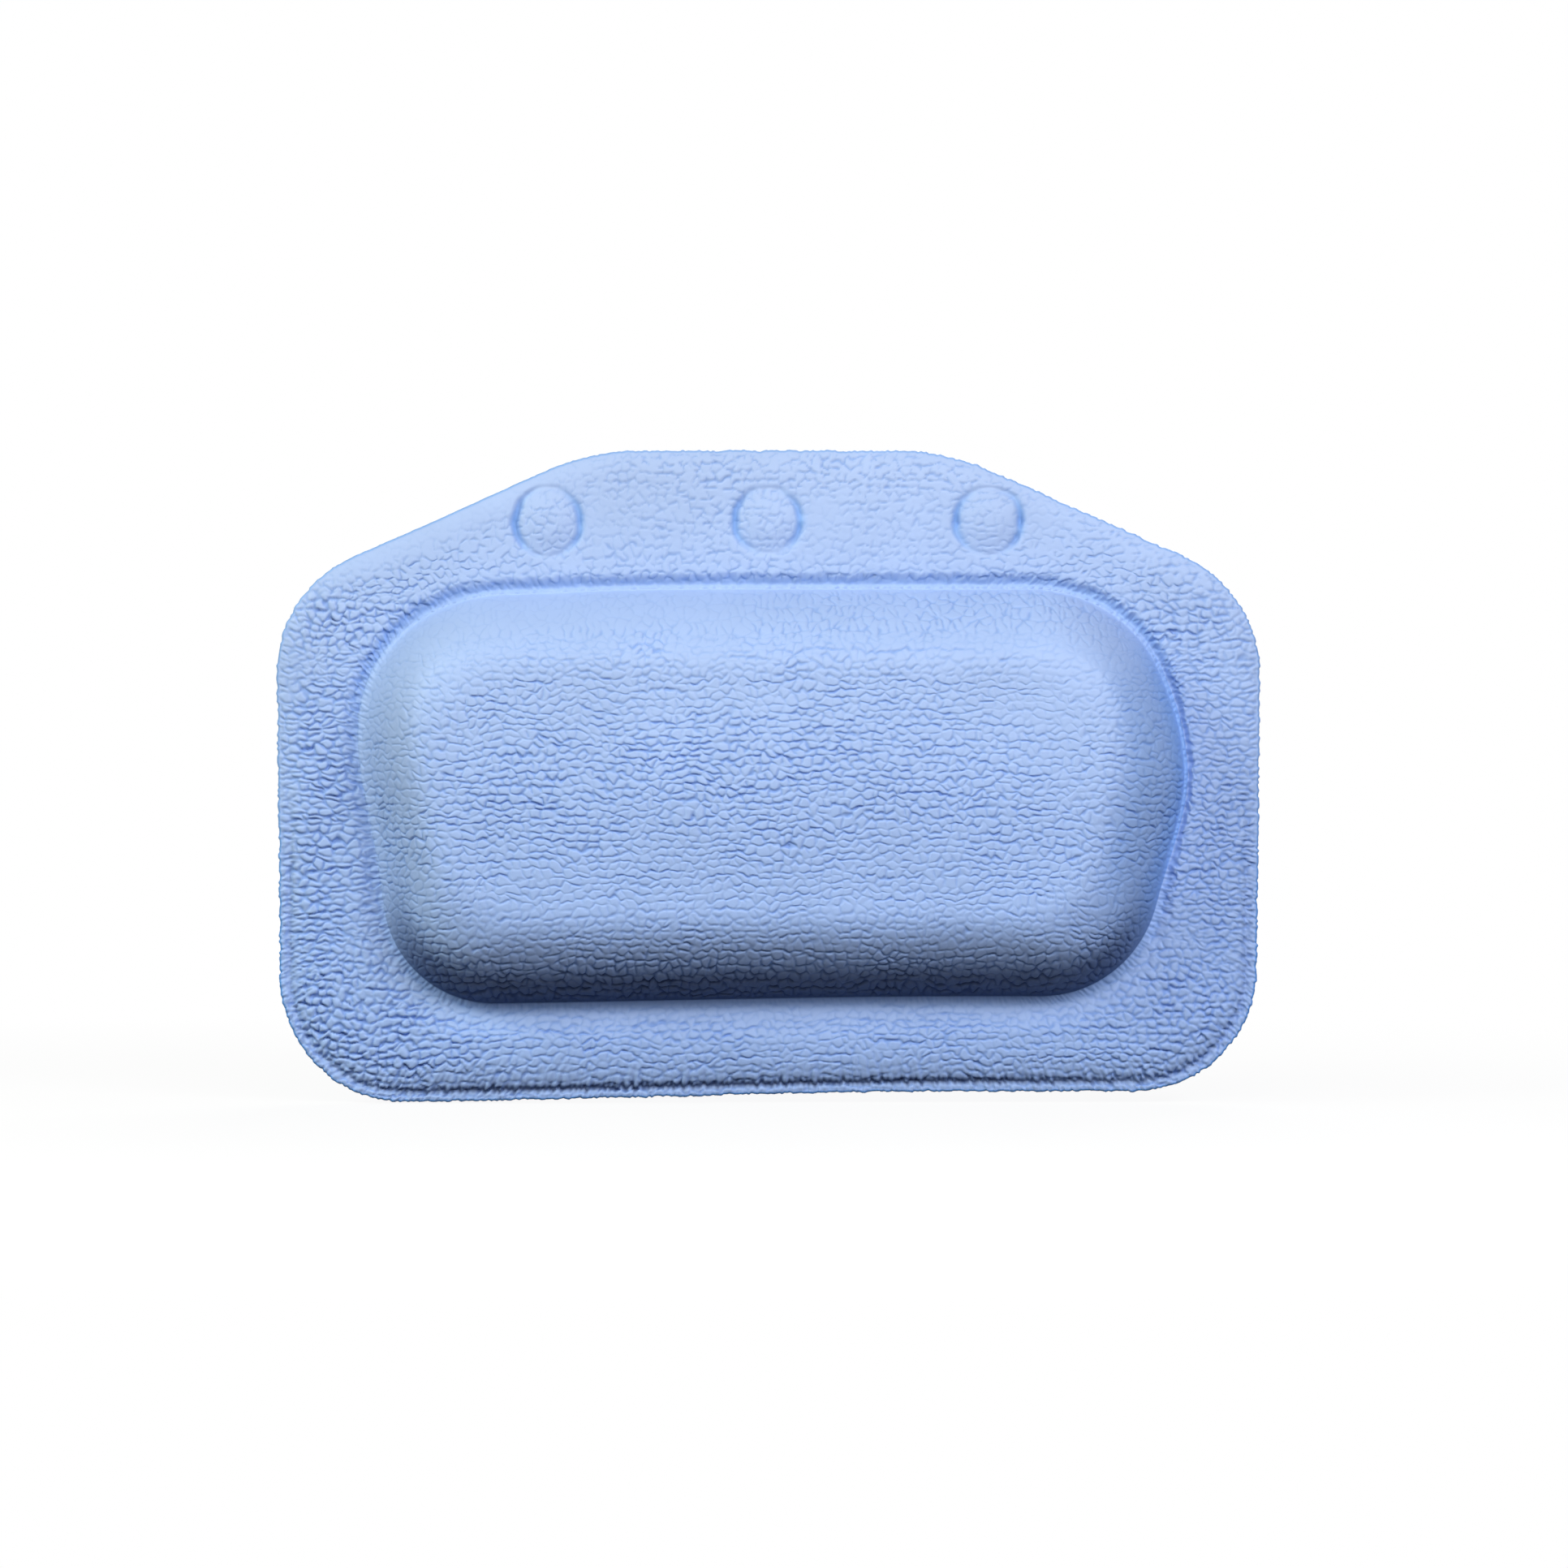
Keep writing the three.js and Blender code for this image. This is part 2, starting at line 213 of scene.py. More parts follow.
class PadSizes(PropertyGroup):
    """The raised pad: a rounded trapezium with upright upper sides, and its section."""

    width: length("Width", "Pad across its crease", 269 * MM)
    height: length("Height", "Pad from the top to the bottom of its crease", 134.9 * MM)
    base_width: length("Base width", "Pad across its lower corners", 239 * MM)
    upright_side: length("Upright side", "Straight upper part of each side", 62 * MM)
    top_radius: length("Top radius", "Fillet of the upper corners", 50 * MM)
    side_radius: length("Side radius", "Fillet where the sides turn inwards", 70 * MM)
    base_radius: length("Base radius", "Fillet of the lower corners", 38 * MM)
    below_cups: length("Below cups", "From the cups' axes down to the pad's crease", 20.8 * MM)
    shoulder: length("Shoulder", "Width of the rounded edge of the pad", 31 * MM)
    crown: length("Crown", "Swell of the pad's top above its shoulder", 2 * MM)
    skin: length("Skin", "Thickness of the cover over the pad", 3 * MM)


class FlangeSizes(PropertyGroup):
    """The flange round the pad, its outline, the welded rim and the crease."""

    side_band: length("Side band", "Flange beside the pad", 25.5 * MM)
    top_edge: length("Top edge", "Straight edge above the cups", 115 * MM)
    slope_drop: length("Slope drop", "Fall of each slope from the top edge to the side", 45.5 * MM)
    base_taper: length("Base taper", "How much each side leans in at the base", 1.5 * MM)
    top_radius: length("Top radius", "Fillet at each end of the top edge", 80 * MM)
    slope_radius: length("Slope radius", "Fillet below each slope", 42 * MM)
    base_radius: length("Base radius", "Fillet of the lower corners", 40 * MM)
    puff: length("Puff", "Height of the flange's crest above the weld plane", 4.6 * MM)
    base_puff: length("Base puff", "Height of the flange's crest below the pad", 5.4 * MM)
    weld: length("Weld", "Height of a welded groove above the weld plane", 1.4 * MM)
    crease: length("Crease", "Height of the crease round the pad above the weld plane", 1.9 * MM)
    rim: length("Rim", "Height of the rim outside the welded groove", 2.4 * MM)
    weld_inset: length("Weld inset", "From the edge in to the welded groove", 3.7 * MM)
    ragged: length("Ragged edge", "How far the trimmed edge wanders", 0.45 * MM)
    sag: length("Sag", "How far the lower edge hangs down on the left and is lifted on the right", 2.2 * MM)


class CupSizes(PropertyGroup):
    """The suction cups, and the bumps that their heads leave in the front cover."""

    lip: length("Lip", "Diameter of the cup's lip", 28 * MM)
    lip_land: length("Lip land", "Width of the flat lip", 1.4 * MM)
    lip_thickness: length("Lip thickness", "Thickness of the lip's edge", 0.9 * MM)
    hollow: length("Hollow", "Depth of the cup's hollow face", 5.6 * MM)
    root: length("Root", "Diameter of the cup where it meets the back cover", 11 * MM)
    neck: length("Neck", "Diameter of the neck through the back cover", 6 * MM)
    head: length("Head", "Diameter of the head between the covers", 15 * MM)
    head_thickness: length("Head thickness", "Thickness of the head", 2.5 * MM)
    gap: length("Gap", "Play between a cup and the covers", 0.3 * MM)
    bump_rise: length("Bump rise", "Height of the bump over a head", 1.1 * MM)
    ring_radius: length("Ring radius", "Radius of the ring pinched round a bump", 10.7 * MM)
    ring_depth: length("Ring depth", "Depth of that ring", 2.0 * MM)


class GrainLook(PropertyGroup):
    """The pebbled grain of the front cover."""

    depth: length("Depth", "Depth of the grooves between pebbles", 0.44 * MM)
    groove: length("Groove", "From the middle of a groove to the top of a pebble", 0.5 * MM)
    pebble_width: length("Pebble width", "Size of a pebble across the pillow", 3.3 * MM)
    pebble_height: length("Pebble height", "Size of a pebble up the pillow", 2.4 * MM)
    wrinkle_width: length("Wrinkle width", "Long wrinkle of the side flanges", 4.2 * MM)
    pucker: length("Pucker", "Height of the small puckers along the crease and the rim", 0.2 * MM)
    points_across: IntProperty(name="Points across", description="Grid along the top", default=640, min=40)
    points_up: IntProperty(name="Points up", description="Grid along a side", default=380, min=20)


class Finishes(PropertyGroup):
    """Colours of the pieces."""

    vinyl: colour("Vinyl", "Lower part of the front and back covers", (0.36, 0.51, 0.86))
    # The head colour is less blue than the vinyl and is blended in towards the top: painted sheen of the light
    # from above.
    vinyl_head_painted_sheen: colour("Vinyl head with painted sheen", "Upper part of the covers", (0.39, 0.505, 0.765))
    # The groove tint is painted shade in the grain's grooves: it darkens the vinyl as deep as each groove
    # goes.
    painted_groove_shade: colour("Painted groove shade", "What the grooves of the grain do to the vinyl", (0.66, 0.75, 0.88))
    # The crease tint is painted shade in the crease, in the sides of the bumps' rings and on the pad's right
    # flank, and it also darkens the cut edge.
    painted_crease_shade_and_edge_tint: colour("Painted crease shade and edge tint", "What pressing does to the vinyl in the crease", (0.15, 0.55, 0.9))
    # The shade tint is painted shade up the pad's lower wall, on the flange just below its foot and in the
    # welded groove.
    painted_shade_tint: colour("Painted shade tint", "What the pad's foot and the weld do to the vinyl", (0.15, 0.175, 0.235))
    foam: colour("Foam", "Foam core", (0.87, 0.81, 0.66))
    clear: colour("Clear vinyl", "Suction cups", (0.93, 0.96, 0.97))


class StageLook(PropertyGroup):
    """Camera, lamps and surroundings."""

    view_width: length("View width", "Width of the picture at the flange", 509.7 * MM)
    view_across: length("View across", "Middle of the picture, to the right of the middle cup", 5.1 * MM)
    view_down: length("View down", "Middle of the picture, below the cups", 85.4 * MM)
    view_depth: length("View depth", "The flange's face, in front of the weld plane", 2 * MM)
    lens: FloatProperty(name="Lens", description="Focal length", default=100.0, unit="CAMERA")
    key_power: FloatProperty(name="Key", description="Power of the lamp above the bather", default=2.56)
    left_power: FloatProperty(name="Left", description="Power of the lamp on the left", default=5.5125)
    right_power: FloatProperty(name="Right", description="Power of the lamp on the right", default=4.7775)
    back_power: FloatProperty(name="Back", description="Power of the lamp behind", default=7.0)
    ambient: FloatProperty(name="Ambient", description="Light from all round", default=0.005)


class BathPillow(PropertyGroup):
    """Everything that can be changed on the pillow."""

    pad: PointerProperty(type=PadSizes)
    flange: PointerProperty(type=FlangeSizes)
    cups: PointerProperty(type=CupSizes)
    grain: PointerProperty(type=GrainLook)
    finishes: PointerProperty(type=Finishes)
    stage: PointerProperty(type=StageLook)


# Smooth steps and noise

def smooth_step(value, low, high):
    """0 at low, 1 at high, and three times the square less twice the cube of the share between."""
    share = np.clip((value - low) / (high - low), 0.0, 1.0)
    return share * share * (3.0 - 2.0 * share)


def hill(value, centre, spread):
    """A bell curve: e to the minus square of the distance from centre over spread."""
    return np.exp(-(((value - centre) / spread) ** 2))


def ramp(metres, low, high):
    """A smooth step from low to high, which are in millimetres."""
    return smooth_step(metres, low * MM, high * MM)


def mound(metres, centre, spread):
    """A hill whose centre and spread are in millimetres."""
    return hill(metres, centre * MM, spread * MM)


def lattice_value(column, row, seed):
    """A fixed value from 0 to 1 for each lattice point, from its scrambled column and row numbers."""
    bits = column.astype(np.int64).astype(np.uint32) * np.uint32(374761393)
    bits = bits + row.astype(np.int64).astype(np.uint32) * np.uint32(668265263)
    bits = bits + np.uint32(seed * 974711)
    bits = (bits ^ (bits >> np.uint32(13))) * np.uint32(1274126177)
    bits = (bits ^ (bits >> np.uint32(15))) * np.uint32(2246822519)
    return (bits ^ (bits >> np.uint32(16))).astype(np.float64) / 2.0**32


def smooth_noise(across, up, size, seed):
    """Noise from -1 to 1: the values of the four lattice points around, blended by smooth steps. The size of
    the lattice is in millimetres, across and up."""
    across, up = across / (size[0] * MM), up / (size[1] * MM)
    column, row = np.floor(across), np.floor(up)
    right = smooth_step(across - column, 0.0, 1.0)
    above = smooth_step(up - row, 0.0, 1.0)
    corners = [[lattice_value(column + x, row + y, seed) for x in (0, 1)] for y in (0, 1)]
    low, high = (near * (1 - right) + far * right for near, far in corners)
    return 2.0 * (low * (1 - above) + high * above) - 1.0


def wavy_noise(across, up, size, seed):
    """Noise of about one wavelength, spread by 1 about 0: each lattice point has a slope in its own fixed
    direction, and the four slopes around are blended by a smooth step of the fifth degree. The size of the
    lattice is in millimetres, across and up."""
    across, up = across / (size[0] * MM), up / (size[1] * MM)
    column, row = np.floor(across), np.floor(up)
    x, y = across - column, up - row
    right = x**3 * (x * (6 * x - 15) + 10)
    above = y**3 * (y * (6 * y - 15) + 10)
    total = np.zeros(across.shape)
    for step_x, share_x in ((0, 1 - right), (1, right)):
        for step_y, share_y in ((0, 1 - above), (1, above)):
            aim = 2 * np.pi * lattice_value(column + step_x, row + step_y, seed)
            total += share_x * share_y * (np.cos(aim) * (x - step_x) + np.sin(aim) * (y - step_y))
    return total / SLOPE_SPREAD


def pebble_centres(x, y, width, height, seed, scatter):
    """Steps from each point to the centres of the nine pebbles round it, as nine pairs of arrays. Pebbles
    stand in level rows, each row shifted by a share of its own, and each centre is scattered by shares of
    the pebble's width and height."""
    row = np.floor(y / height)
    steps = []
    for above in (-1, 0, 1):
        shift = lattice_value(row + above, 0 * row, seed + 2)
        column = np.floor(x / width + shift)
        for right in (-1, 0, 1):
            scatter_x = scatter[0] * (lattice_value(column + right, row + above, seed) - 0.5)
            scatter_y = scatter[1] * (lattice_value(column + right, row + above, seed + 1) - 0.5)
            centre_x = (column + right + 0.5 - shift + scatter_x) * width
            centre_y = (row + above + 0.5 + scatter_y) * height
            steps.append((centre_x - x, centre_y - y))
    return np.array(steps)


def pebbled(
    x, y, width, height, groove, seed,
    bulge=0.2, upright_groove=0.55, long_groove=1.0, breaks=0.75, scatter=(0.75, 0.6),
):
    """Height of a pebbled skin, from about -1 in its grooves to its bulge on its pebbles.

    A point lies on the pebble with the nearest centre. Its soft distance from the borders with the other
    pebbles is minus the logarithm of a sum of falling exponentials, and a smooth step of that distance
    lifts it out of the groove. Level grooves are deeper than upright ones, which keep a share of the depth,
    noise breaks them all up, and a slower noise deepens long stretches of the level ones.
    """
    steps = pebble_centres(x, y, width, height, seed, scatter)
    squares = np.sum(steps**2, axis=1)
    own = np.take_along_axis(steps, np.argmin(squares, axis=0)[None, None], axis=0)
    apart = steps - own
    gap = np.linalg.norm(apart, axis=1)
    other = gap > 0.0
    gap = np.where(other, gap, 1.0)
    soft = groove / 3
    share = other * np.exp((np.min(squares, axis=0) - squares) / (2 * gap * soft))
    total = np.sum(share, axis=0)
    border = np.maximum(-soft * np.log(total), 0.0)
    level = np.sum(share * np.abs(apart[:, 1]) / gap, axis=0) / total
    vary = 1.0 - breaks * smooth_step(wavy_noise(x, y, (3, 2.2), seed + 3), -0.4, 1.2)
    long = long_groove * smooth_step(wavy_noise(x, y, (13, 3), seed + 4), 0.2, 1.4)
    deep = (upright_groove + (1.0 - upright_groove) * level**2) * vary + long * level**3
    fine = 0.02 * wavy_noise(x, y, (1.5, 1.1), seed + 5)
    domed = bulge * np.minimum(border / (1.1 * MM), 1.0)
    return domed + fine - deep * (1.0 - smooth_step(border, 0.0, groove))


# Loops and rings of the sheet

def both_sides(right):
    """Corners down the right-hand side, and their mirror images back up the left."""
    return np.array(right + [(-across, up, radius) for across, up, radius in reversed(right)])


def pad_corners(pad):
    """Corners of the pad's crease, as across, up and fillet radius."""
    top = -pad.below_cups
    return both_sides([
        (pad.width / 2, top, pad.top_radius),
        (pad.width / 2, top - pad.upright_side, pad.side_radius),
        (pad.base_width / 2, top - pad.height, pad.base_radius),
    ])


def outline_corners(pad, flange):
    """Corners of the covers' outline, as across, up and fillet radius."""
    half = pad.width / 2 + flange.side_band
    return both_sides([
        (flange.top_edge / 2, FRONT_HIGH.z, flange.top_radius),
        (half, FRONT_HIGH.z - flange.slope_drop, flange.slope_radius),
        (half - flange.base_taper, FRONT_LOW.z, flange.base_radius),
    ])


def unit(vectors):
    """Vectors divided by their lengths."""
    return vectors / np.linalg.norm(vectors, axis=-1, keepdims=True)


def rounded_loop(corners, inset):
    """A clockwise loop of corners moved inwards, as one arc of points for each corner.

    Each edge slides along its inward normal, each corner moves to where its edges meet again, and an arc
    that touches both edges takes its place. An arc's radius shrinks by the inset, but keeps a share.
    """
    places, radii = corners[:, :2], corners[:, 2]
    along = unit(np.roll(places, -1, axis=0) - places)
    inward = np.column_stack((along[:, 1], -along[:, 0]))
    before = np.roll(inward, 1, axis=0)
    spread = 1.0 + np.sum(before * inward, axis=1, keepdims=True)
    places = places + (before + inward) * inset / spread
    radii = np.maximum(radii - inset, CORNER_KEEP * radii)
    ahead = unit(np.roll(places, -1, axis=0) - places)
    back = unit(np.roll(places, 1, axis=0) - places)
    half = np.arccos(np.clip(np.sum(ahead * back, axis=1), -1.0, 1.0)) / 2
    reach = radii / np.tan(half)
    edge = np.linalg.norm(np.roll(places, -1, axis=0) - places, axis=1)
    share = np.minimum(1.0, edge / (reach + np.roll(reach, -1)))
    reach = reach * np.minimum(share, np.roll(share, 1))
    middle = unit(ahead + back)
    centre = places + middle * (reach / np.cos(half))[:, None]
    radius = reach * np.tan(half)
    turn = (np.pi / 2 - half)[:, None] * np.linspace(1.0, -1.0, ARC_POINTS)
    aim = np.arctan2(-middle[:, 1], -middle[:, 0])[:, None] + turn
    return centre[:, None, :] + radius[:, None, None] * np.stack((np.cos(aim), np.sin(aim)), axis=-1)


def run_along(points):
    """How far along a closed ring each of its points lies."""
    return np.cumsum(np.linalg.norm(points - np.roll(points, 1, axis=0), axis=1))


def evenly(line, count):
    """Points spaced evenly by length along an open line, with its end left out."""
    run = np.concatenate(([0.0], np.cumsum(np.linalg.norm(np.diff(line, axis=0), axis=1))))
    even = np.linspace(0.0, run[-1], count, endpoint=False)
    return np.column_stack([np.interp(even, run, line[:, axis]) for axis in (0, 1)])


def ring(corners, starts, inset, counts):
    """A closed ring inside a loop: its four sides, each divided evenly, clockwise from the upper left."""
    arcs = rounded_loop(corners, inset)
    points = arcs.reshape(-1, 2)
    marks = [start * ARC_POINTS + ARC_POINTS // 2 for start in starts]
    sides = []
    for mark, end, count in zip(marks, marks[1:] + marks[:1], counts):
        steps = (end - mark) % len(points)
        sides.append(evenly(points[(mark + np.arange(steps + 1)) % len(points)], count))
    return np.concatenate(sides)


def block_inside(edge, counts):
    """A grid of points filling a ring: opposite sides are blended, less the blend of the four corners."""
    wide, tall = counts[0], counts[1]
    top = edge[: wide + 1]
    right = edge[wide : wide + tall + 1]
    bottom = edge[wide + tall : 2 * wide + tall + 1][::-1]
    left = np.concatenate((edge[2 * wide + tall :], edge[:1]))[::-1]
    across = np.linspace(0.0, 1.0, wide + 1)[None, :, None]
    down = np.linspace(0.0, 1.0, tall + 1)[:, None, None]
    ruled = (1 - down) * top[None] + down * bottom[None]
    ruled = ruled + (1 - across) * left[:, None] + across * right[:, None]
    upper = (1 - across) * top[0] + across * top[-1]
    lower = (1 - across) * bottom[0] + across * bottom[-1]
    return ruled - (1 - down) * upper - down * lower


def block_numbers(first, wide, tall):
    """Point numbers of a grid whose edge is a ring numbered from 0 and whose inside starts at first."""
    numbers = np.zeros((tall + 1, wide + 1), np.int64)
    numbers[1:-1, 1:-1] = first + np.arange((tall - 1) * (wide - 1)).reshape(tall - 1, wide - 1)
    numbers[0] = np.arange(wide + 1)
    numbers[:, -1] = wide + np.arange(tall + 1)
    numbers[-1] = 2 * wide + tall - np.arange(wide + 1)
    numbers[:, 0] = (2 * (wide + tall) - np.arange(tall + 1)) % (2 * (wide + tall))
    return numbers


# Faces

def strip(inner, outer):
    """Quads between two closed rows of point numbers, which face the bather where outer lies outside."""
    return np.column_stack((inner, np.roll(inner, -1), np.roll(outer, -1), outer))


def grid_quads(numbers):
    """Quads of a grid of point numbers, which face the bather where rows run down and columns across."""
    corners = (numbers[:-1, :-1], numbers[1:, :-1], numbers[1:, 1:], numbers[:-1, 1:])
    return np.stack(corners, axis=-1).reshape(-1, 4)


def flat_face(loops, loose=()):
    """Triangles of a flat face: inside the first loop and outside the others, through loose points too.

    Returns point numbers counted along the loops and then the loose points, anticlockwise.
    """
    places = np.concatenate([*loops, *loose])
    edges, owner = [], np.full(len(places), -1)
    first = 0
    for which, loop in enumerate(loops):
        numbers = first + np.arange(len(loop))
        edges.append(np.column_stack((numbers, np.roll(numbers, -1))))
        owner[numbers] = which
        first += len(loop)
    found = delaunay_2d_cdt([Vector(place) for place in places], np.concatenate(edges).tolist(), [], 1, 1e-9)
    triangles = np.array(found[2], np.int64)
    owners = owner[triangles]
    in_hole = (owners[:, 0] > 0) & (owners[:, 0] == owners[:, 1]) & (owners[:, 0] == owners[:, 2])
    return triangles[~in_hole]


def make_mesh(name, points, quads, triangles):
    """A smooth-shaded mesh object at the origin from whole arrays of points and faces."""
    mesh = bpy.data.meshes.new(name)
    quads, triangles = np.asarray(quads).reshape(-1, 4), np.asarray(triangles).reshape(-1, 3)
    corners = np.concatenate((quads.ravel(), triangles.ravel())).astype(np.int32)
    starts = np.concatenate((4 * np.arange(len(quads)), 4 * len(quads) + 3 * np.arange(len(triangles))))
    mesh.vertices.add(len(points))
    mesh.vertices.foreach_set("co", np.ascontiguousarray(points, np.float32).ravel())
    mesh.loops.add(len(corners))
    mesh.loops.foreach_set("vertex_index", corners)
    mesh.polygons.add(len(starts))
    mesh.polygons.foreach_set("loop_start", starts.astype(np.int32))
    mesh.update(calc_edges=True)
    mesh.shade_smooth()
    if mesh.validate():
        raise RuntimeError(f"{name}: the mesh has faces that can't be used")
    piece = bpy.data.objects.new(name, mesh)
    bpy.context.scene.collection.objects.link(piece)
    return piece


def upright(sheet, height):
    """Sheet points and their heights, stood up in the row frame."""
    return np.column_stack((sheet[:, 0], WELD_Y - height, sheet[:, 1]))


def dress(piece, body, node, material):
    """Hangs a piece on its body in place of its CAD node, with its finish."""
    piece.data.materials.append(material)
    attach(piece, body)
    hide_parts(node)


# Front cover

def shoulder_rise(share):
    """Height of the pad's shoulder, 0 at the crease and 1 at its top: twice the share, less twice its
    cube, plus its fourth power. Its slope falls from steepest to level as a smooth step does."""
    return 2.0 * share - 2.0 * share**3 + share**4


def sagged(sheet, flange):
    """Sheet points with the lower edge let down on the left and lifted on the right, the pad's upper left
    corner let down, its left side pressed in and its right side bowed out, each by a smooth step or a bell
    curve."""
    across, up = sheet.T
    low = smooth_step(up, -80 * MM, FRONT_LOW.z)
    left = mound(across, -118, 62)
    right = ramp(across, -60, 60)
    corner = mound(across, -88, 32) * mound(up, -24, 20)
    side = mound(across, -130, 16) * mound(up, -95, 34)
    bow = 1.4 * mound(up, -92, 24) - 0.6 * mound(up, -55, 14)
    side = side + bow * mound(across, 128, 16)
    down = flange.sag * (0.75 * low * (left - right) + 0.8 * corner)
    return sheet + np.column_stack((flange.sag * side, -down))


def frayed_edge(outline, flange):
    """How the rough trim moves each point of the outline's ring: outwards, by noise along the ring in two
    sizes, which is less on the upper left, where the edge was cut clean."""
    run = run_along(outline)
    waves = smooth_noise(run, 0 * run, (3.1, 1), SEEDS["edge waves"])
    nicks = smooth_noise(run, 0 * run, (0.9, 1), SEEDS["edge nicks"])
    cut_clean = mound(outline[:, 0], -100, 50) * ramp(outline[:, 1], -40, -10)
    rough = flange.ragged * (0.35 * waves + 0.65 * nicks) * (1.0 - 0.85 * cut_clean)
    along = unit(outline - np.roll(outline, 1, axis=0))
    return np.column_stack((-along[:, 1], along[:, 0])) * rough[:, None]


def rim_height(from_edge, inset, flange):
    """Height of the rim: a bead that falls to the welded groove, as half a wave of the cosine squared."""
    share = np.clip((from_edge - 0.42 * inset) / (0.58 * inset), -1.0, 1.0)
    return flange.weld + (flange.rim - flange.weld) * np.cos(share * np.pi / 2) ** 2


def crown_rise(tall, wide):
    """Swell of the pad's top over the inside of its block of points, 1 in the middle: half a wave of the sine
    up it, squared, times half a wave across it, to a power."""
    up, across = (np.sin(np.linspace(0, np.pi, count)) for count in (tall, wide))
    return np.outer(up**2, across**CROWN_POWER)[1:-1, 1:-1].ravel()


def quarter_round(distance, width):
    """0 at distance 0 and 1 from width on, as a quarter of an ellipse."""
    return np.sqrt(1.0 - (1.0 - np.clip(distance / width, 0.0, 1.0)) ** 2)


class FrontSheet:
    """The front cover's grid: a block over the pad's top, and rings from there out to the edge.

    For each point it holds its place in the sheet, its distance out from the crease and in from the edge,
    how far along the crease and along the edge it lies, the way out of the pad there, and its place in the
    sheet before moulding, which stretched up the walls and so took up only a share of their length.
    """

    def __init__(self, settings):
        pad, flange, grain = settings.pad, settings.flange, settings.grain
        wide, tall = grain.points_across, grain.points_up
        counts = (wide, tall, wide, tall)
        self.around = 2 * (wide + tall)
        loop, outline = pad_corners(pad), outline_corners(pad, flange)
        rise = WELD_Y - FRONT_LOW.y - pad.crown - flange.crease

        # Rings: evenly down the shoulder by its own length, out along the crease, over the flange's band,
        # along the rim and round the edge.
        share = np.linspace(1.0, 0.0, SECTION_SAMPLES)
        run = np.hypot(np.diff(share * pad.shoulder), np.diff(rise * shoulder_rise(share)))
        run = np.concatenate(([0.0], np.cumsum(run)))
        even = np.linspace(0.0, run[-1], SHOULDER_ROWS)
        insets = np.interp(even, run, share) * pad.shoulder
        outsets = np.linspace(0.0, CREASE_BAND, CREASE_ROWS + 1)[1:]
        shoulder = [ring(loop, PAD_STARTS, inset, counts) for inset in insets]
        crease = [ring(loop, PAD_STARTS, -outset, counts) for outset in outsets]
        rims = np.linspace(RIM_BAND, EDGE_ROUND, RIM_ROWS)
        rim = [ring(outline, OUTLINE_STARTS, inset, counts) for inset in rims]
        band_share = np.linspace(0.0, 1.0, BAND_ROWS + 2)[1:-1]
        band = [crease[-1] + (rim[0] - crease[-1]) * part for part in band_share]
        turns = np.linspace(0.0, np.pi / 2, EDGE_ROWS + 1)[1:]
        edge_insets = EDGE_ROUND * (1.0 - np.sin(turns))
        edge = [ring(outline, OUTLINE_STARTS, inset, counts) for inset in edge_insets]
        self.outline = ring(outline, OUTLINE_STARTS, 0.0, counts)
        edge += [self.outline, self.outline]
        rows = np.array(shoulder + crease + band + rim + edge)

        # Distances out from the crease and in from the edge, ring by ring.
        band_width = np.linalg.norm(rim[0] - crease[-1], axis=1)
        level = np.ones(self.around)
        from_crease = [-inset * level for inset in insets] + [outset * level for outset in outsets]
        from_crease += [outsets[-1] + band_width * part for part in band_share]
        from_crease += [outsets[-1] + band_width + rims[0] - inset for inset in rims]
        from_crease += [from_crease[-1]] * len(edge)
        to_rim = rims[0] + band_width
        from_edge = [to_rim + outsets[-1] + inset for inset in insets]
        from_edge += [to_rim + outsets[-1] - outset for outset in outsets]
        from_edge += [rims[0] + band_width * (1.0 - part) for part in band_share]
        from_edge += [inset * level for inset in rims] + [inset * level for inset in edge_insets]
        from_edge += [0 * level, 0 * level]

        # The way out of the pad, the sheet before moulding, and lengths along the crease and the edge.
        out = unit(crease[-1] - ring(loop, PAD_STARTS, 3 * MM, counts))
        over = even - (pad.shoulder - insets)
        over = np.concatenate((over, np.full(len(rows) - len(insets), over[-1])))
        kept = WALL_SLACK * (1.0 - smooth_step(-out[:, 1:], 0.5, 0.9))
        flat = rows + kept * over[:, None, None] * out
        along, along_edge = run_along(shoulder[-1]), run_along(self.outline)

        block = block_inside(shoulder[0], counts)[1:-1, 1:-1].reshape(-1, 2)
        inner = len(block)
        self.places = np.concatenate((rows.reshape(-1, 2), block))
        self.flat = np.concatenate((flat.reshape(-1, 2), block))
        self.from_crease = np.concatenate((np.ravel(from_crease), np.full(inner, -pad.shoulder)))
        self.from_edge = np.concatenate((np.ravel(from_edge), np.full(inner, 1.0)))
        self.along = np.concatenate((np.tile(along, len(rows)), np.zeros(inner)))
        self.along_edge = np.concatenate((np.tile(along_edge, len(rows)), np.zeros(inner)))
        self.out = np.concatenate((np.tile(out, (len(rows), 1)), np.zeros((inner, 2))))
        self.rows = np.arange(rows.shape[0] * self.around).reshape(-1, self.around)
        self.block = block_numbers(self.rows.size, wide, tall)
        self.edge_turns = turns

    def facing(self, way, start=0.6, full=0.95):
        """How far each point's way out of the pad turns to a side: a smooth step of their dot product."""
        return smooth_step(self.out @ np.array(way, float), start, full)

    def quads(self):
        """Quads of the block and of every ring."""
        rings = [strip(inner, outer) for inner, outer in zip(self.rows[:-1], self.rows[1:])]
        return np.concatenate([grid_quads(self.block), *rings])


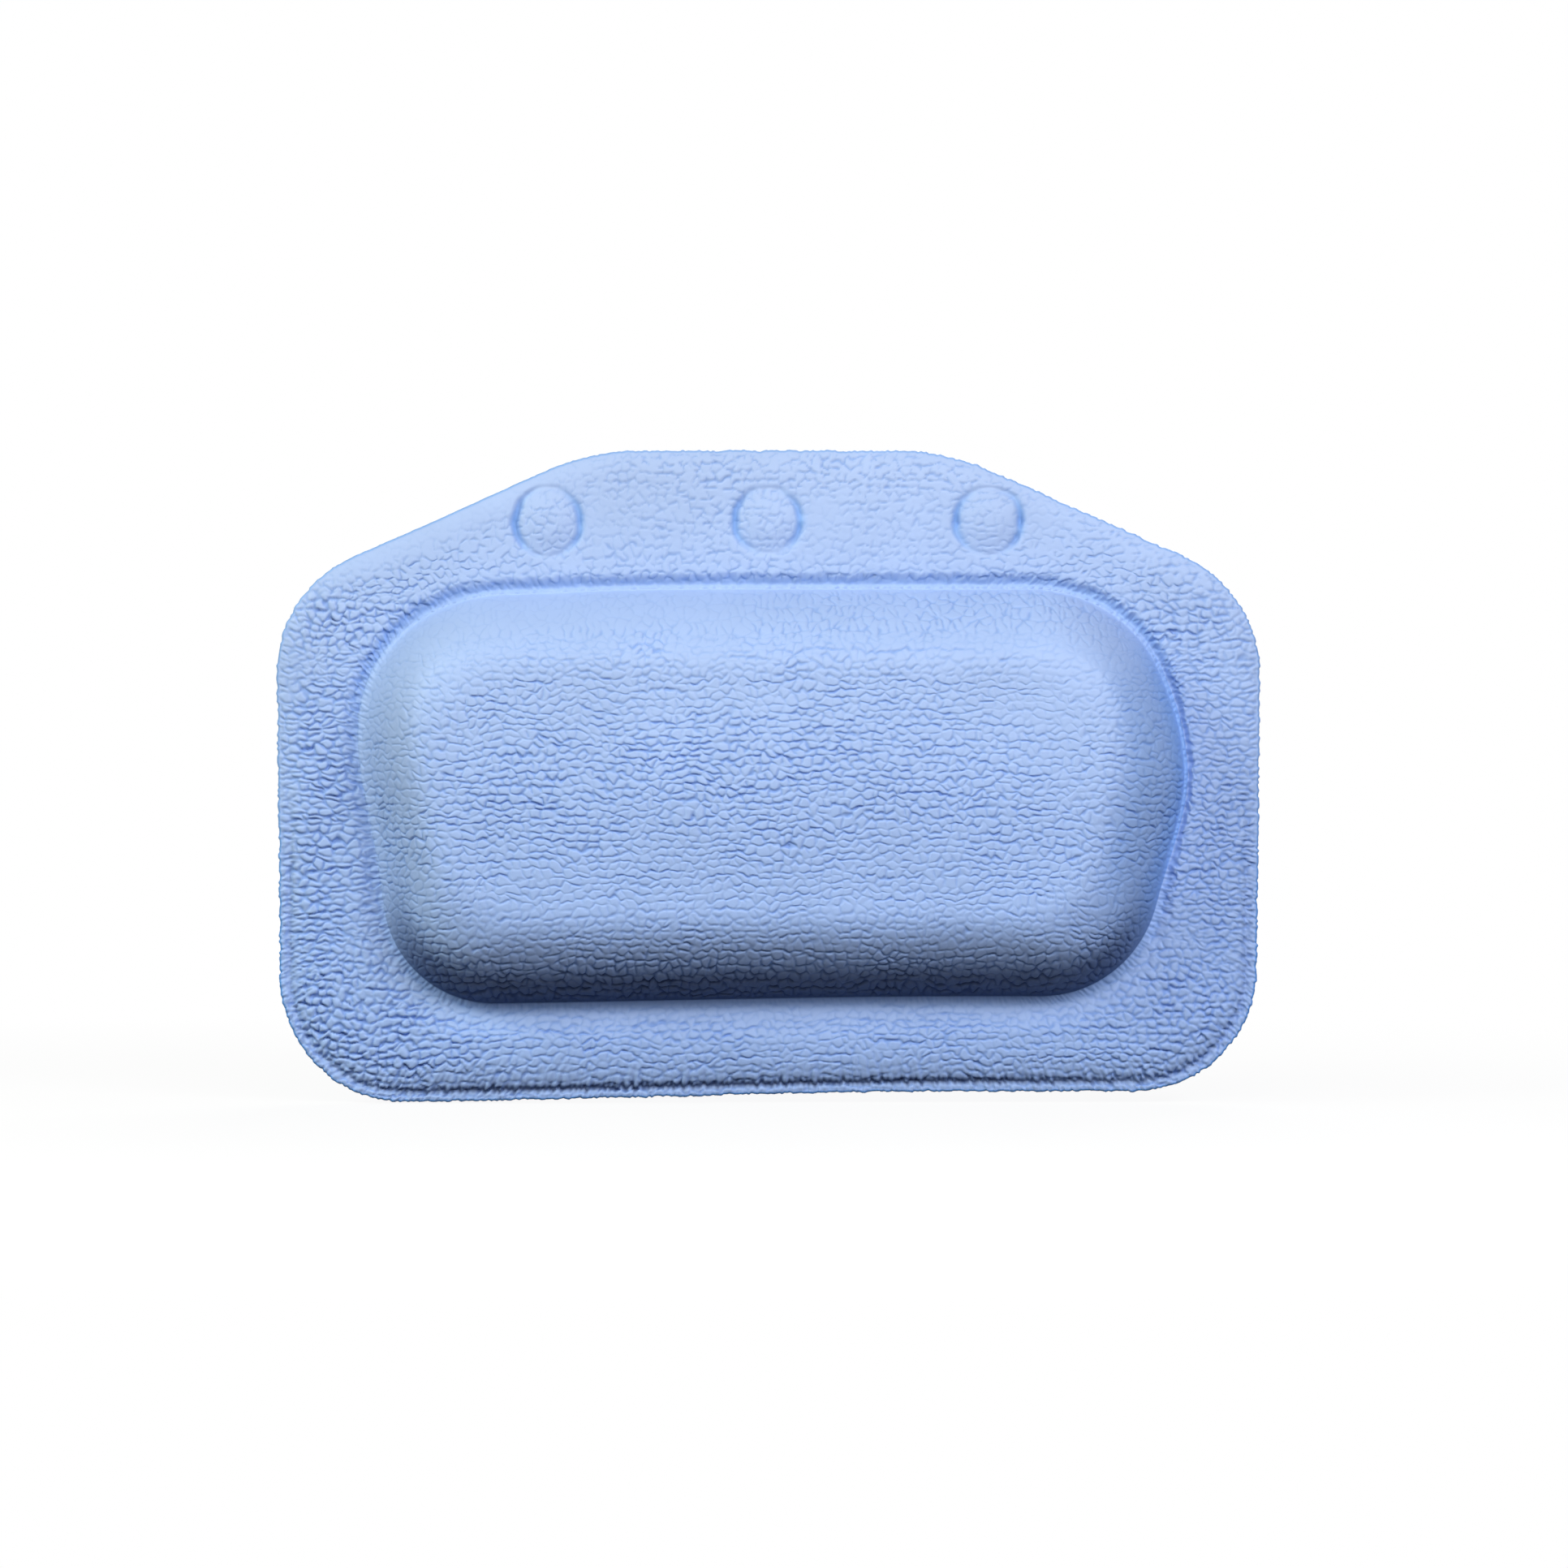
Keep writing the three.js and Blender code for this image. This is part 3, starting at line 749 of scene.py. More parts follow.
def bump_rings(sheet, cups):
    """For each bump, how far each point lies to its side, from 0 above or below it to 1 beside it, and a
    bell curve across its ring, whose radius wanders by noise and which is wider at the sides."""
    across, up = sheet.places.T
    wander = RING_WANDER * smooth_noise(across, up, (5, 4), SEEDS["ring"])
    found = []
    for cup_x in CUP_X:
        away = np.hypot(across - cup_x, up)
        beside = np.abs(across - cup_x) / np.maximum(away, 1e-6)
        found.append((beside, hill(away + wander, cups.ring_radius, (0.75 + 0.45 * beside) * MM)))
    return found


def weld_place(sheet, flange):
    """How far the welded groove runs inside the edge: further at the sides than at the base, with noise."""
    low = sheet.facing(*LOWER_PART)
    wander = wavy_noise(sheet.along_edge, 0 * sheet.along_edge, (1.6, 1), SEEDS["weld"])
    return flange.weld_inset * (1.3 - 0.3 * low) + WELD_WANDER * wander


def crease_scallops(sheet):
    """How far the flange's pebbles reach into the crease: noise along it, next to none at the base."""
    reach = SCALLOP_REACH * wavy_noise(sheet.along, sheet.from_crease, (2.1, 6), SEEDS["scallops"])
    return reach * (1.0 - 0.85 * sheet.facing(DOWN))


def front_height(sheet, settings):
    """Height of the bare front cover over its grid: pad, crease, flange, rim and bumps added up."""
    pad, flange, cups = settings.pad, settings.flange, settings.cups
    across, up = sheet.places.T
    crest = WELD_Y - FRONT_LOW.y - pad.crown

    # The pad: its shoulder, and a crown that is level where it meets the shoulder.
    left = sheet.facing(LEFT)
    pressed = flange.crease + LEFT_LIFT * left
    ledge = (1.0 - left) * (1.0 - sheet.facing(DOWN, 0.1, 0.6))
    floor = (2.0 * left + 1.1 * ledge) * MM
    soft = (0.2 + 1.2 * left) * MM
    inside = soft * np.logaddexp(0.0, (-sheet.from_crease - floor) / soft)
    raised = pressed + (crest - pressed) * shoulder_rise(np.clip(inside / (pad.shoulder - floor), 0.0, 1.0))
    raised[sheet.block[1:-1, 1:-1].ravel()] += pad.crown * crown_rise(*sheet.block.shape)

    # The flange: it rises from the crease as a smooth step, wider at the pad's foot than at its head, and
    # ends in the welded groove and the rim, which fade into a plain rounded edge towards the top.
    below = sheet.facing(DOWN, 0.2, 0.9)
    above = sheet.facing(UP, 0.3, 0.8)
    right = sheet.facing(RIGHT)
    foot_width = (2.8 + 2.6 * left - 0.9 * right + 12.0 * below + 1.6 * above) * MM
    puff = flange.puff + (flange.base_puff - flange.puff) * below
    low = sheet.facing(*LOWER_PART)
    weld_line = weld_place(sheet, flange)
    roll = (5.5 + 5.0 * below + 9.0 * hill(sheet.out[:, 1], *LOWER_CORNERS)) * MM
    past_weld = quarter_round(sheet.from_edge - weld_line, roll)
    welded = flange.weld + (puff - flange.weld) * past_weld
    welded = np.where(sheet.from_edge < weld_line, rim_height(sheet.from_edge, weld_line, flange), welded)
    plain = flange.rim + (flange.puff - flange.rim) * quarter_round(sheet.from_edge, PLAIN_ROLL)
    outer = plain + low * (welded - plain)
    from_foot = sheet.from_crease + crease_scallops(sheet)
    level = pressed + (outer - pressed) * smooth_step(from_foot, 0.0, foot_width)

    # The crease: a fine serrated bead at the pad's foot.
    serrated = wavy_noise(sheet.along, 0 * across, (1.3, 1), SEEDS["serrated"])
    serrated = BEAD_HEIGHT * (1.0 + 0.35 * serrated)
    height = np.where(sheet.from_crease < 0, raised, level)
    height = height + serrated * ledge * mound(sheet.from_crease, -0.7, 0.5)

    # The bumps over the cups' heads: a low dome inside a ring that is deepest at its sides.
    broken = 0.7 + 0.4 * smooth_noise(across, up, (3, 3), SEEDS["broken ring"])
    for cup_x, (beside, bell) in zip(CUP_X, bump_rings(sheet, cups)):
        away = np.hypot(across - cup_x, up)
        height += cups.bump_rise * (1.0 - smooth_step(away, BUMP_TOP, 0.95 * cups.ring_radius))
        height -= cups.ring_depth * broken * (0.3 + 0.7 * beside**2) * bell

    # The edge: rounded over from the last ring of the rim, then straight down to the weld plane.
    turned = sheet.edge_turns[:, None]
    top = height[sheet.rows[-len(turned) - 3]]
    rounded = top - EDGE_ROUND * (1.0 - np.cos(turned))
    rounded = np.concatenate((rounded, [EDGE_MIDDLE * (top - EDGE_ROUND), 0.0 * top]))
    height[sheet.rows[-len(rounded):].ravel()] = rounded.ravel()
    return height


def grain_height(sheet, settings):
    """Height of the grain, from about -1 in the grooves to 0.2 on the pebbles.

    Pebbles cover the pad, flatter ones the head, long wrinkles the side flanges, and tall ones the stretched
    upper wall. Noise bends them all, and they are blended by where they lie.
    """
    grain = settings.grain
    across, up = sheet.flat.T
    bend = FINE_BEND * wavy_noise(across, up, (2.8, 2.8), SEEDS["fine bend"])
    bend += BROAD_BEND * smooth_noise(across, up, (11, 9), SEEDS["broad bend"])
    lift = FINE_BEND * wavy_noise(across, up, (2.8, 2.8), SEEDS["fine lift"])
    lift += BROAD_BEND * smooth_noise(across, up, (12, 10), SEEDS["broad lift"])
    x, y, groove = across + bend, up + lift, grain.groove
    wide, tall = grain.pebble_width, grain.pebble_height
    pebbles = pebbled(0.84 * x, y, 0.84 * wide, tall, groove, SEEDS["pebbles"])
    plain = pebbled(
        x, y, wide, 1.1 * tall, 0.85 * groove, SEEDS["flat pebbles"], bulge=0.12, long_groove=0.4, breaks=1.0
    )
    wrinkles = pebbled(
        0.66 * x, y, 0.66 * grain.wrinkle_width, 0.87 * tall, groove, SEEDS["wrinkles"],
        bulge=0.15, upright_groove=0.5, long_groove=0.8, breaks=0.6, scatter=(0.8, 0.45),
    )
    drawn = pebbled(
        x, y, 0.7 * wide, 2.2 * tall, groove, SEEDS["drawn pebbles"], upright_groove=1.4, long_groove=0.0
    )

    side = ramp(sheet.from_crease, 1, 5) * smooth_step(np.abs(sheet.out[:, 0]), 0.75, 0.95)
    upper_wall = ramp(sheet.from_crease, -21, -14) * sheet.facing(UP, 0.5, 0.9)
    upper_wall *= sheet.from_crease < 0
    top_middle = ramp(up, 22, 34) * mound(across, 5, 50)
    upright_share = np.maximum(upper_wall, 0.8 * top_middle)
    head = ramp(up, -28, -16) * (sheet.from_crease > 0)
    mixed = pebbles + head * (plain - pebbles)
    mixed = mixed + side * (wrinkles - mixed)
    return mixed + upright_share * (drawn - mixed)


def grain_depth(sheet, settings):
    """Depth of the grain in metres: full on the pad and its sides, less on the head and where heat has
    smoothed the sheet: the left of the upper wall, the foot of the pad, the left slope, the clean-cut edge
    and beside each bump. Smooth steps and bell curves mark these places, and noise makes it uneven."""
    across, up = sheet.places.T
    inside = sheet.from_crease < 0
    left_side = sheet.facing(LEFT)
    wall = ramp(sheet.from_crease, -18, -11)
    upper_wall = wall * sheet.facing(UP, 0.45, 0.95)
    stretched = upper_wall * (0.7 - 0.95 * ramp(across, -30, 90))
    low_wall = sheet.facing(DOWN, 0.5, 0.9)
    from_foot = ramp(-sheet.from_crease, 0.8 - 0.6 * low_wall, 3.0 - 1.6 * low_wall)
    on_pad = (1.0 - stretched) * np.maximum(from_foot, 0.8 * left_side)
    slope = left_side * ramp(sheet.from_crease, -30, -16)
    on_pad *= 1.0 + slope * (0.2 - 0.6 * ramp(up, -105, -85))
    underside = low_wall * ramp(sheet.from_crease, -18, -9)
    on_pad *= 0.75 + 0.8 * np.maximum(mound(up, -84, 26), 1.1 * underside)
    sides = 0.45 * ramp(across, 35, 105) + 0.25 * ramp(-across, 50, 100)
    on_pad *= 1.0 - sides * ramp(up, -115, -75)
    head = ramp(up, -24, -12)
    left = ramp(-across, 90, 150)
    top_middle = ramp(up, 4, 14) * mound(across, 0, 60)
    right = ramp(across, 90, 150) * (0.5 + 0.45 * ramp(-up, 60, 130))
    on_flange = (1.2 + 1.0 * left + right * (1.0 - head)) * (1.0 - head * (0.33 - 0.35 * top_middle))
    corner = hill(sheet.out[:, 1], *LOWER_CORNERS) * (1.0 - ramp(sheet.from_edge, 4, 10))
    on_flange *= 1.0 - SMOOTHED["lower corners"] * corner
    on_flange *= 1.0 - SMOOTHED["left edge"] * left * (1.0 - ramp(sheet.from_edge, 3, 8))
    low_left = ramp(-across, 50, 120) * ramp(-up, 125, 160)
    on_flange *= 1.0 + 0.35 * low_left
    foot = sheet.facing(DOWN, 0.35, 0.9) * (1.0 - ramp(sheet.from_crease, 2, 10))
    on_flange *= 1.0 - SMOOTHED["foot"] * foot
    on_flange *= np.maximum(ramp(sheet.from_crease, 0.2, 2.4), 0.5 * left_side)
    clean = ramp(-across, 20, 80) * head * (1.0 - ramp(sheet.from_edge, 3, 11))
    on_flange *= 1.0 - SMOOTHED["clean-cut edge"] * clean
    for cup_x in CUP_X:
        smoothed = hill(across, cup_x + 16 * MM, 7 * MM) * mound(up, 1, 9)
        on_flange *= 1.0 - SMOOTHED["beside a bump"] * smoothed
    rings = sum(bell for _, bell in bump_rings(sheet, settings.cups))
    on_flange *= 1.0 - SMOOTHED["bump's ring"] * rings
    rim = ramp(sheet.from_edge, 0.3, 2)
    uneven = 1.0 + 0.3 * smooth_noise(across, up, (19, 15), SEEDS["uneven grain"])
    return settings.grain.depth * np.where(inside, on_pad, on_flange) * rim * uneven


def puckers(sheet, settings):
    """Small folds at right angles to the crease and to the edge: noise along each, dying away from it."""
    lean = 0.5 * smooth_noise(sheet.along, 0 * sheet.along, (23, 1), SEEDS["lean"])
    shift = sheet.along + lean * sheet.from_crease
    fold = wavy_noise(shift, sheet.from_crease, (0.95, 5), SEEDS["folds"])
    corner = hill(sheet.out[:, 1], 0.5, 0.35) + 0.4 * hill(sheet.out[:, 1], -0.4, 0.3)
    near = mound(sheet.from_crease, 1 + 0.8 * corner, 1.8 + 1.4 * corner)
    calm = 0.5 + 0.45 * corner - 0.35 * smooth_step(np.abs(sheet.out[:, 1]), 0.85, 1.0)
    fringe = wavy_noise(sheet.along_edge, sheet.from_edge, (0.85, 4), SEEDS["fringe"])
    low = sheet.facing(*LOWER_PART)
    at_rim = (0.25 + 0.75 * low) * (1.0 - smooth_step(sheet.from_edge, 0.0, 1.4 * settings.flange.weld_inset))
    return settings.grain.pucker * (fold * near * calm + fringe * at_rim)


def painted_shade_and_edge_tint(sheet, settings):
    """What the vinyl's colour is multiplied by at each point: painted shade with the crease tint across the
    crease, on the pad's right flank and in the sides of the bumps' rings, the cut edge darker with the same
    tint, and painted shade with the shade tint up the pad's lower wall, on the flange at its foot and in the
    welded groove. Each falls from white by its share, a bell curve or a smooth step."""
    flange, finishes = settings.flange, settings.finishes
    below = sheet.facing(DOWN, 0.55, 0.95)
    low = sheet.facing(*LOWER_PART)
    above = sheet.facing(UP, 0.55, 0.95)
    left = sheet.facing(LEFT)
    right = sheet.facing(RIGHT)
    corner = hill(sheet.out[:, 1], 0.55, 0.3)
    # Painted shade along the crease, in a bell curve just outside it: most at the upper corners, less at the
    # top and on the sides.
    channel = 0.26 - 0.08 * above - 0.14 * left - 0.16 * right + 0.1 * corner
    channel *= mound(sheet.from_crease + crease_scallops(sheet), 1.0, 1.5 + below + 0.8 * corner)
    # Painted shade in the sides of the bumps' rings, most beside each bump.
    rings = sum(beside**2 * bell for beside, bell in bump_rings(sheet, settings.cups))
    cut = (0.5 + 0.4 * low) * (1.0 - ramp(sheet.from_edge, 0.3, 1.0))
    inside = sheet.from_crease < 0
    # Painted shade on the pad's right flank: some up the wall, more towards its foot.
    flank = 0.2 * ramp(sheet.from_crease, -26, -16) + 0.22 * ramp(sheet.from_crease, -9, -2)
    flank = flank * right * inside
    # The strongest at each point of the painted crease, ring and flank shades and the darker cut edge, all
    # with the crease tint.
    crease = np.maximum(np.maximum(channel, 0.55 * rings), np.maximum(cut, flank))
    # Painted shade up the pad's lower wall and round its lower corners: a little where the shoulder turns
    # down, full near the foot.
    turn = 0.13 * mound(sheet.from_crease, -23, 5)
    under = sheet.facing(DOWN, 0.3, 0.9)
    wall = under * (turn + ramp(sheet.from_crease, -14, -5.5)) * inside
    # Painted shadow on the flange just below the pad's foot, fading out over about 5 mm.
    foot = 0.7 * below * (1.0 - ramp(sheet.from_crease, 0.5, 5.0)) * ~inside
    # Painted shade in the welded groove, strongest along the base.
    base = sheet.facing(DOWN, 0.75, 0.97)
    weld = (0.12 * low + 0.86 * base) * hill(sheet.from_edge, weld_place(sheet, flange) - 0.2 * MM, 1.1 * MM)
    shade = np.maximum(np.maximum(wall, foot), weld)
    # Painted shade and the darker cut edge with the crease tint, then painted shade with the shade tint.
    pressed = 1.0 - crease[:, None] * (1.0 - np.array(finishes.painted_crease_shade_and_edge_tint))
    return pressed * (1.0 - shade[:, None] * (1.0 - np.array(finishes.painted_shade_tint)))


def surface_normals(piece):
    """Vertex normals of a piece's mesh as an array."""
    normals = np.zeros(3 * len(piece.data.vertices), np.float32)
    piece.data.vertex_normals.foreach_get("vector", normals)
    return normals.reshape(-1, 3).astype(np.float64)


def store_values(piece, name, values):
    """Keeps one value for each vertex in a named attribute, for the material to read."""
    attribute = piece.data.attributes.new(name, "FLOAT", "POINT")
    attribute.data.foreach_set("value", np.ascontiguousarray(values, np.float32))


def store_colours(piece, name, colours):
    """Keeps one colour for each vertex in a named attribute, for the material to read."""
    attribute = piece.data.attributes.new(name, "FLOAT_COLOR", "POINT")
    solid = np.column_stack((colours, np.ones(len(colours))))
    attribute.data.foreach_set("color", np.ascontiguousarray(solid, np.float32).ravel())


def inner_pad(settings, counts, skin, foot):
    """Rows of points up the inside of the pad and a block over its top, a skin's thickness inside it."""
    pad = settings.pad
    loop = pad_corners(pad)
    top = WELD_Y - FRONT_LOW.y - pad.crown - skin
    shares = np.linspace(0.0, 1.0, INNER_ROWS)
    insets = skin + (pad.shoulder - skin) * shares
    rows = [ring(loop, PAD_STARTS, inset, counts) for inset in insets]
    heights = np.repeat(foot + (top - foot) * shoulder_rise(shares), len(rows[0]))
    block = block_inside(rows[-1], counts)
    sheet = np.concatenate([*rows[::-1], block[1:-1, 1:-1].reshape(-1, 2)])
    height = np.concatenate((heights[::-1], top + pad.crown * crown_rise(*block.shape[:2])))
    return sheet, height


def pad_quads(first, counts):
    """Quads of an inner pad's block and rings, numbered from first with the ring round the block in front,
    and the numbers of the ring at its foot."""
    rows = np.arange(INNER_ROWS * sum(counts)).reshape(INNER_ROWS, -1)
    block = block_numbers(rows.size, counts[0], counts[1])
    rings = [strip(inner, outer) for inner, outer in zip(rows[:-1], rows[1:])]
    return first + np.concatenate([grid_quads(block), *rings]), first + rows[-1]


def circle(centre, radius, count):
    """Points of a clockwise circle on a cup's axis."""
    turn = np.linspace(0.0, -2.0 * np.pi, count, endpoint=False)
    return np.column_stack((centre + radius * np.cos(turn), radius * np.sin(turn)))


def build_front_cover(settings):
    """The moulded cover: its grained outside, the flat weld face, the core's cavity and three pockets."""
    flange, cups = settings.flange, settings.cups
    sheet = FrontSheet(settings)
    on_rings = sheet.rows.size
    frayed = np.tile(frayed_edge(sheet.outline, flange), (len(sheet.rows), 1))
    places = sheet.places.copy()
    fade = 1.0 - smooth_step(sheet.from_edge[:on_rings], 0.0, FRAY_REACH)
    places[:on_rings] += frayed * fade[:, None]
    wave = smooth_noise(*sheet.places.T, (31, 27), SEEDS["waves"]) * ramp(sheet.from_edge, 2, 10)
    height = front_height(sheet, settings) + puckers(sheet, settings) + WAVE_HEIGHT * wave
    outside = upright(sagged(places, flange), height)

    # The inside: the cavity, the flat face that is welded to the back cover, and the pockets.
    hollow, hollow_height = inner_pad(settings, CAVITY_COUNTS, settings.pad.skin, 0.0)
    hollow_quads, foot = pad_quads(len(outside), CAVITY_COUNTS)
    pocket_radius, pocket_top = cups.head / 2 + cups.gap, cups.head_thickness + 2 * cups.gap
    pockets = [circle(cup_x, pocket_radius, HOLE_POINTS) for cup_x in CUP_X]
    pocket_rows = np.arange(2 * len(pockets) * HOLE_POINTS).reshape(-1, 2, HOLE_POINTS)
    pocket_rows += len(outside) + len(hollow)
    weld_loops = [places[sheet.rows[-1]], hollow[foot - len(outside)], *pockets]
    numbers = np.concatenate((sheet.rows[-1], foot, pocket_rows[:, 0].ravel()))
    weld_face = numbers[flat_face(weld_loops)[:, ::-1]]
    walls = np.concatenate([strip(low, high) for low, high in pocket_rows])
    roofs = np.concatenate([
        np.column_stack((np.full(HOLE_POINTS - 2, high[0]), high[2:], high[1:-1])) for _, high in pocket_rows
    ])
    pocket_points = np.concatenate([
        upright(np.concatenate((pocket, pocket)), np.repeat((0.0, pocket_top), HOLE_POINTS))
        for pocket in pockets
    ])
    points = np.concatenate((outside, upright(sagged(hollow, flange), hollow_height), pocket_points))
    quads = np.concatenate((sheet.quads(), hollow_quads[:, ::-1], walls))
    triangles = np.concatenate((weld_face, roofs))

    # The grain stands on the bare surface, along its normals, and leaves the edge plain.
    bare = make_mesh("bare_front", points, quads, triangles)
    normals = surface_normals(bare)[: len(outside)]
    bpy.data.meshes.remove(bare.data)
    grain = grain_height(sheet, settings)
    depth = grain_depth(sheet, settings)
    depth[sheet.rows[-EDGE_ROWS - 2 :].ravel()] = 0.0
    points[: len(outside)] += normals * (grain * depth)[:, None]
    piece = make_mesh("front_cover_vinyl", points, quads, triangles)
    # The grooves' depth sets the roughness, and painted shade in the grooves through the groove tint.
    groove = np.zeros(len(points))
    groove[: len(outside)] = np.clip(-grain * depth / settings.grain.depth, 0.0, 1.0)
    store_values(piece, "grain", groove)
    # The tint holds painted shade in the crease, the rings, on the right flank, up the lower wall, at the foot
    # and in the weld, and the darker cut edge.
    tint = np.ones((len(points), 3))
    tint[: len(outside)] = painted_shade_and_edge_tint(sheet, settings)
    store_colours(piece, "tint", tint)
    return piece


# Back cover

def inside_loop(points, loop):
    """Whether each point lies inside a closed loop: how often a line to its right crosses the loop."""
    ahead = np.roll(loop, -1, axis=0)
    x, y = points[:, :1], points[:, 1:]
    straddles = (loop[:, 1] > y) != (ahead[:, 1] > y)
    drop = np.where(ahead[:, 1] == loop[:, 1], 1.0, ahead[:, 1] - loop[:, 1])
    crossing = loop[:, 0] + (y - loop[:, 1]) / drop * (ahead[:, 0] - loop[:, 0])
    return np.sum(straddles & (x < crossing), axis=1) % 2 == 1


def back_rim(settings, counts):
    """Rings of the back cover's edge and welded rim, from the weld plane over to its face, and the height of
    each, with its edge rounded as the front's is."""
    flange = settings.flange
    outline = outline_corners(settings.pad, flange)
    turns = np.linspace(np.pi / 2, 0.0, EDGE_ROWS + 1)
    inner = np.linspace(EDGE_ROUND, BACK_RIM_BAND, BACK_RIM_ROWS + 1)[1:]
    insets = np.concatenate(([0.0, 0.0], EDGE_ROUND * (1.0 - np.sin(turns)), inner))
    rows = [ring(outline, OUTLINE_STARTS, inset, counts) for inset in insets]
    frayed = frayed_edge(rows[0], flange)
    fades = 1.0 - smooth_step(insets, 0.0, FRAY_REACH)
    rows = [row + frayed * fade for row, fade in zip(rows, fades)]
    heights = np.where(
        insets < flange.weld_inset,
        rim_height(insets, flange.weld_inset, flange),
        flange.weld + (BACK_THICK - flange.weld) * quarter_round(insets - flange.weld_inset, BACK_ROLL),
    )
    top = rim_height(EDGE_ROUND, flange.weld_inset, flange)
    rounded = top - EDGE_ROUND * (1.0 - np.cos(turns))
    heights[: len(turns) + 2] = [0.0, EDGE_MIDDLE * (top - EDGE_ROUND), *rounded]
    return rows, heights


def back_face(settings, counts):
    """Loose points of the back cover's face, and how deep each lies in it: rings across the line pressed in
    along the pad, by a bell curve, and a lattice of staggered rows elsewhere, by noise."""
    loop, outline = pad_corners(settings.pad), outline_corners(settings.pad, settings.flange)
    offsets = np.linspace(-LINE_BAND, LINE_BAND, LINE_ROWS)
    line = np.concatenate([ring(loop, PAD_STARTS, offset, LINE_COUNTS) for offset in offsets])
    grid = np.meshgrid(LATTICE_COLUMNS * LATTICE_STEP, LATTICE_ROWS * LATTICE_STEP)
    lattice = np.stack(grid, axis=-1).reshape(-1, 2)
    lattice[:, 0] += np.where(np.round(lattice[:, 1] / LATTICE_STEP) % 2 == 0, LATTICE_STEP / 2, 0.0)
    keep = inside_loop(lattice, ring(outline, OUTLINE_STARTS, BACK_RIM_BAND + 1.5 * MM, counts))
    beside_line = inside_loop(lattice, ring(loop, PAD_STARTS, LINE_BAND + 1 * MM, counts))
    keep &= beside_line | ~inside_loop(lattice, ring(loop, PAD_STARTS, -LINE_BAND - 1 * MM, counts))
    for cup_x in CUP_X:
        keep &= np.hypot(lattice[:, 0] - cup_x, lattice[:, 1]) >= settings.cups.neck
    lattice = lattice[keep]
    pressed = LINE_DEPTH * np.repeat(mound(offsets, 0, 1.3), sum(LINE_COUNTS))
    uneven = 0.2 * MM - 0.25 * MM * smooth_noise(*lattice.T, (26, 22), SEEDS["back"])
    return np.concatenate((line, lattice)), np.concatenate((pressed, uneven))


def build_back_cover(settings):
    """The flat cover behind: an edge and welded rim that match the front, a face with a line pressed in
    along the pad, and a hole for each cup's neck."""
    counts = (settings.grain.points_across, settings.grain.points_up) * 2
    rows, rim_heights = back_rim(settings, counts)
    loose, sunk = back_face(settings, counts)
    holes = [circle(cup_x, settings.cups.neck / 2 + settings.cups.gap, HOLE_POINTS) for cup_x in CUP_X]
    on_holes = len(holes) * HOLE_POINTS
    sheet = np.concatenate([*rows, *holes, loose, *holes])
    height = np.concatenate((
        np.repeat(rim_heights, sum(counts)),
        np.full(on_holes, BACK_THICK),
        BACK_THICK - sunk,
        np.zeros(on_holes),
    ))
    row_numbers = np.arange(len(rows) * sum(counts)).reshape(len(rows), -1)
    rear_holes = row_numbers.size + np.arange(on_holes)
    front_holes = len(sheet) - on_holes + np.arange(on_holes)
    rear_numbers = np.concatenate((row_numbers[-1], np.arange(row_numbers.size, len(sheet) - on_holes)))
    rear = rear_numbers[flat_face([rows[-1], *holes], [loose])[:, ::-1]]
    weld_numbers = np.concatenate((row_numbers[0], front_holes))
    weld_face = weld_numbers[flat_face([rows[0], *holes])]
    rim = [strip(inner, outer) for outer, inner in zip(row_numbers[:-1], row_numbers[1:])]
    hole_rows = zip(front_holes.reshape(len(holes), -1), rear_holes.reshape(len(holes), -1))
    walls = [strip(front, rear_ring) for front, rear_ring in hole_rows]
    points = upright(sagged(sheet, settings.flange), -height)
    quads = np.concatenate(rim + walls)[:, ::-1]
    return make_mesh("back_cover_vinyl", points, quads, np.concatenate((rear, weld_face)))


# Foam core and suction cups

def build_foam_core(settings):
    """The cut foam that fills the pad: a block and rings a little inside the cover, with a flat back."""
    gap = settings.cups.gap
    sheet, height = inner_pad(settings, CORE_COUNTS, settings.pad.skin + gap, gap)
    quads, foot = pad_quads(0, CORE_COUNTS)
    back = foot[flat_face([sheet[foot]])[:, ::-1]]
    return make_mesh("foam_core_foam", upright(sagged(sheet, settings.flange), height), quads, back)


def fillet_profile(corners, radii):
    """A profile through corners, each replaced by the curve from one tangent point to the other that a
    quadratic with the corner as its handle gives."""
    corners = np.array(corners)
    back = unit(corners[:-2] - corners[1:-1])
    ahead = unit(corners[2:] - corners[1:-1])
    start = corners[1:-1] + back * np.array(radii)[:, None]
    end = corners[1:-1] + ahead * np.array(radii)[:, None]
    share = np.linspace(0.0, 1.0, FILLET_POINTS)[None, :, None]
    curves = (1 - share) ** 2 * start[:, None] + 2 * share * (1 - share) * corners[1:-1][:, None]
    curves = curves + share**2 * end[:, None]
    return np.concatenate((corners[:1], curves.reshape(-1, 2), corners[-1:]))


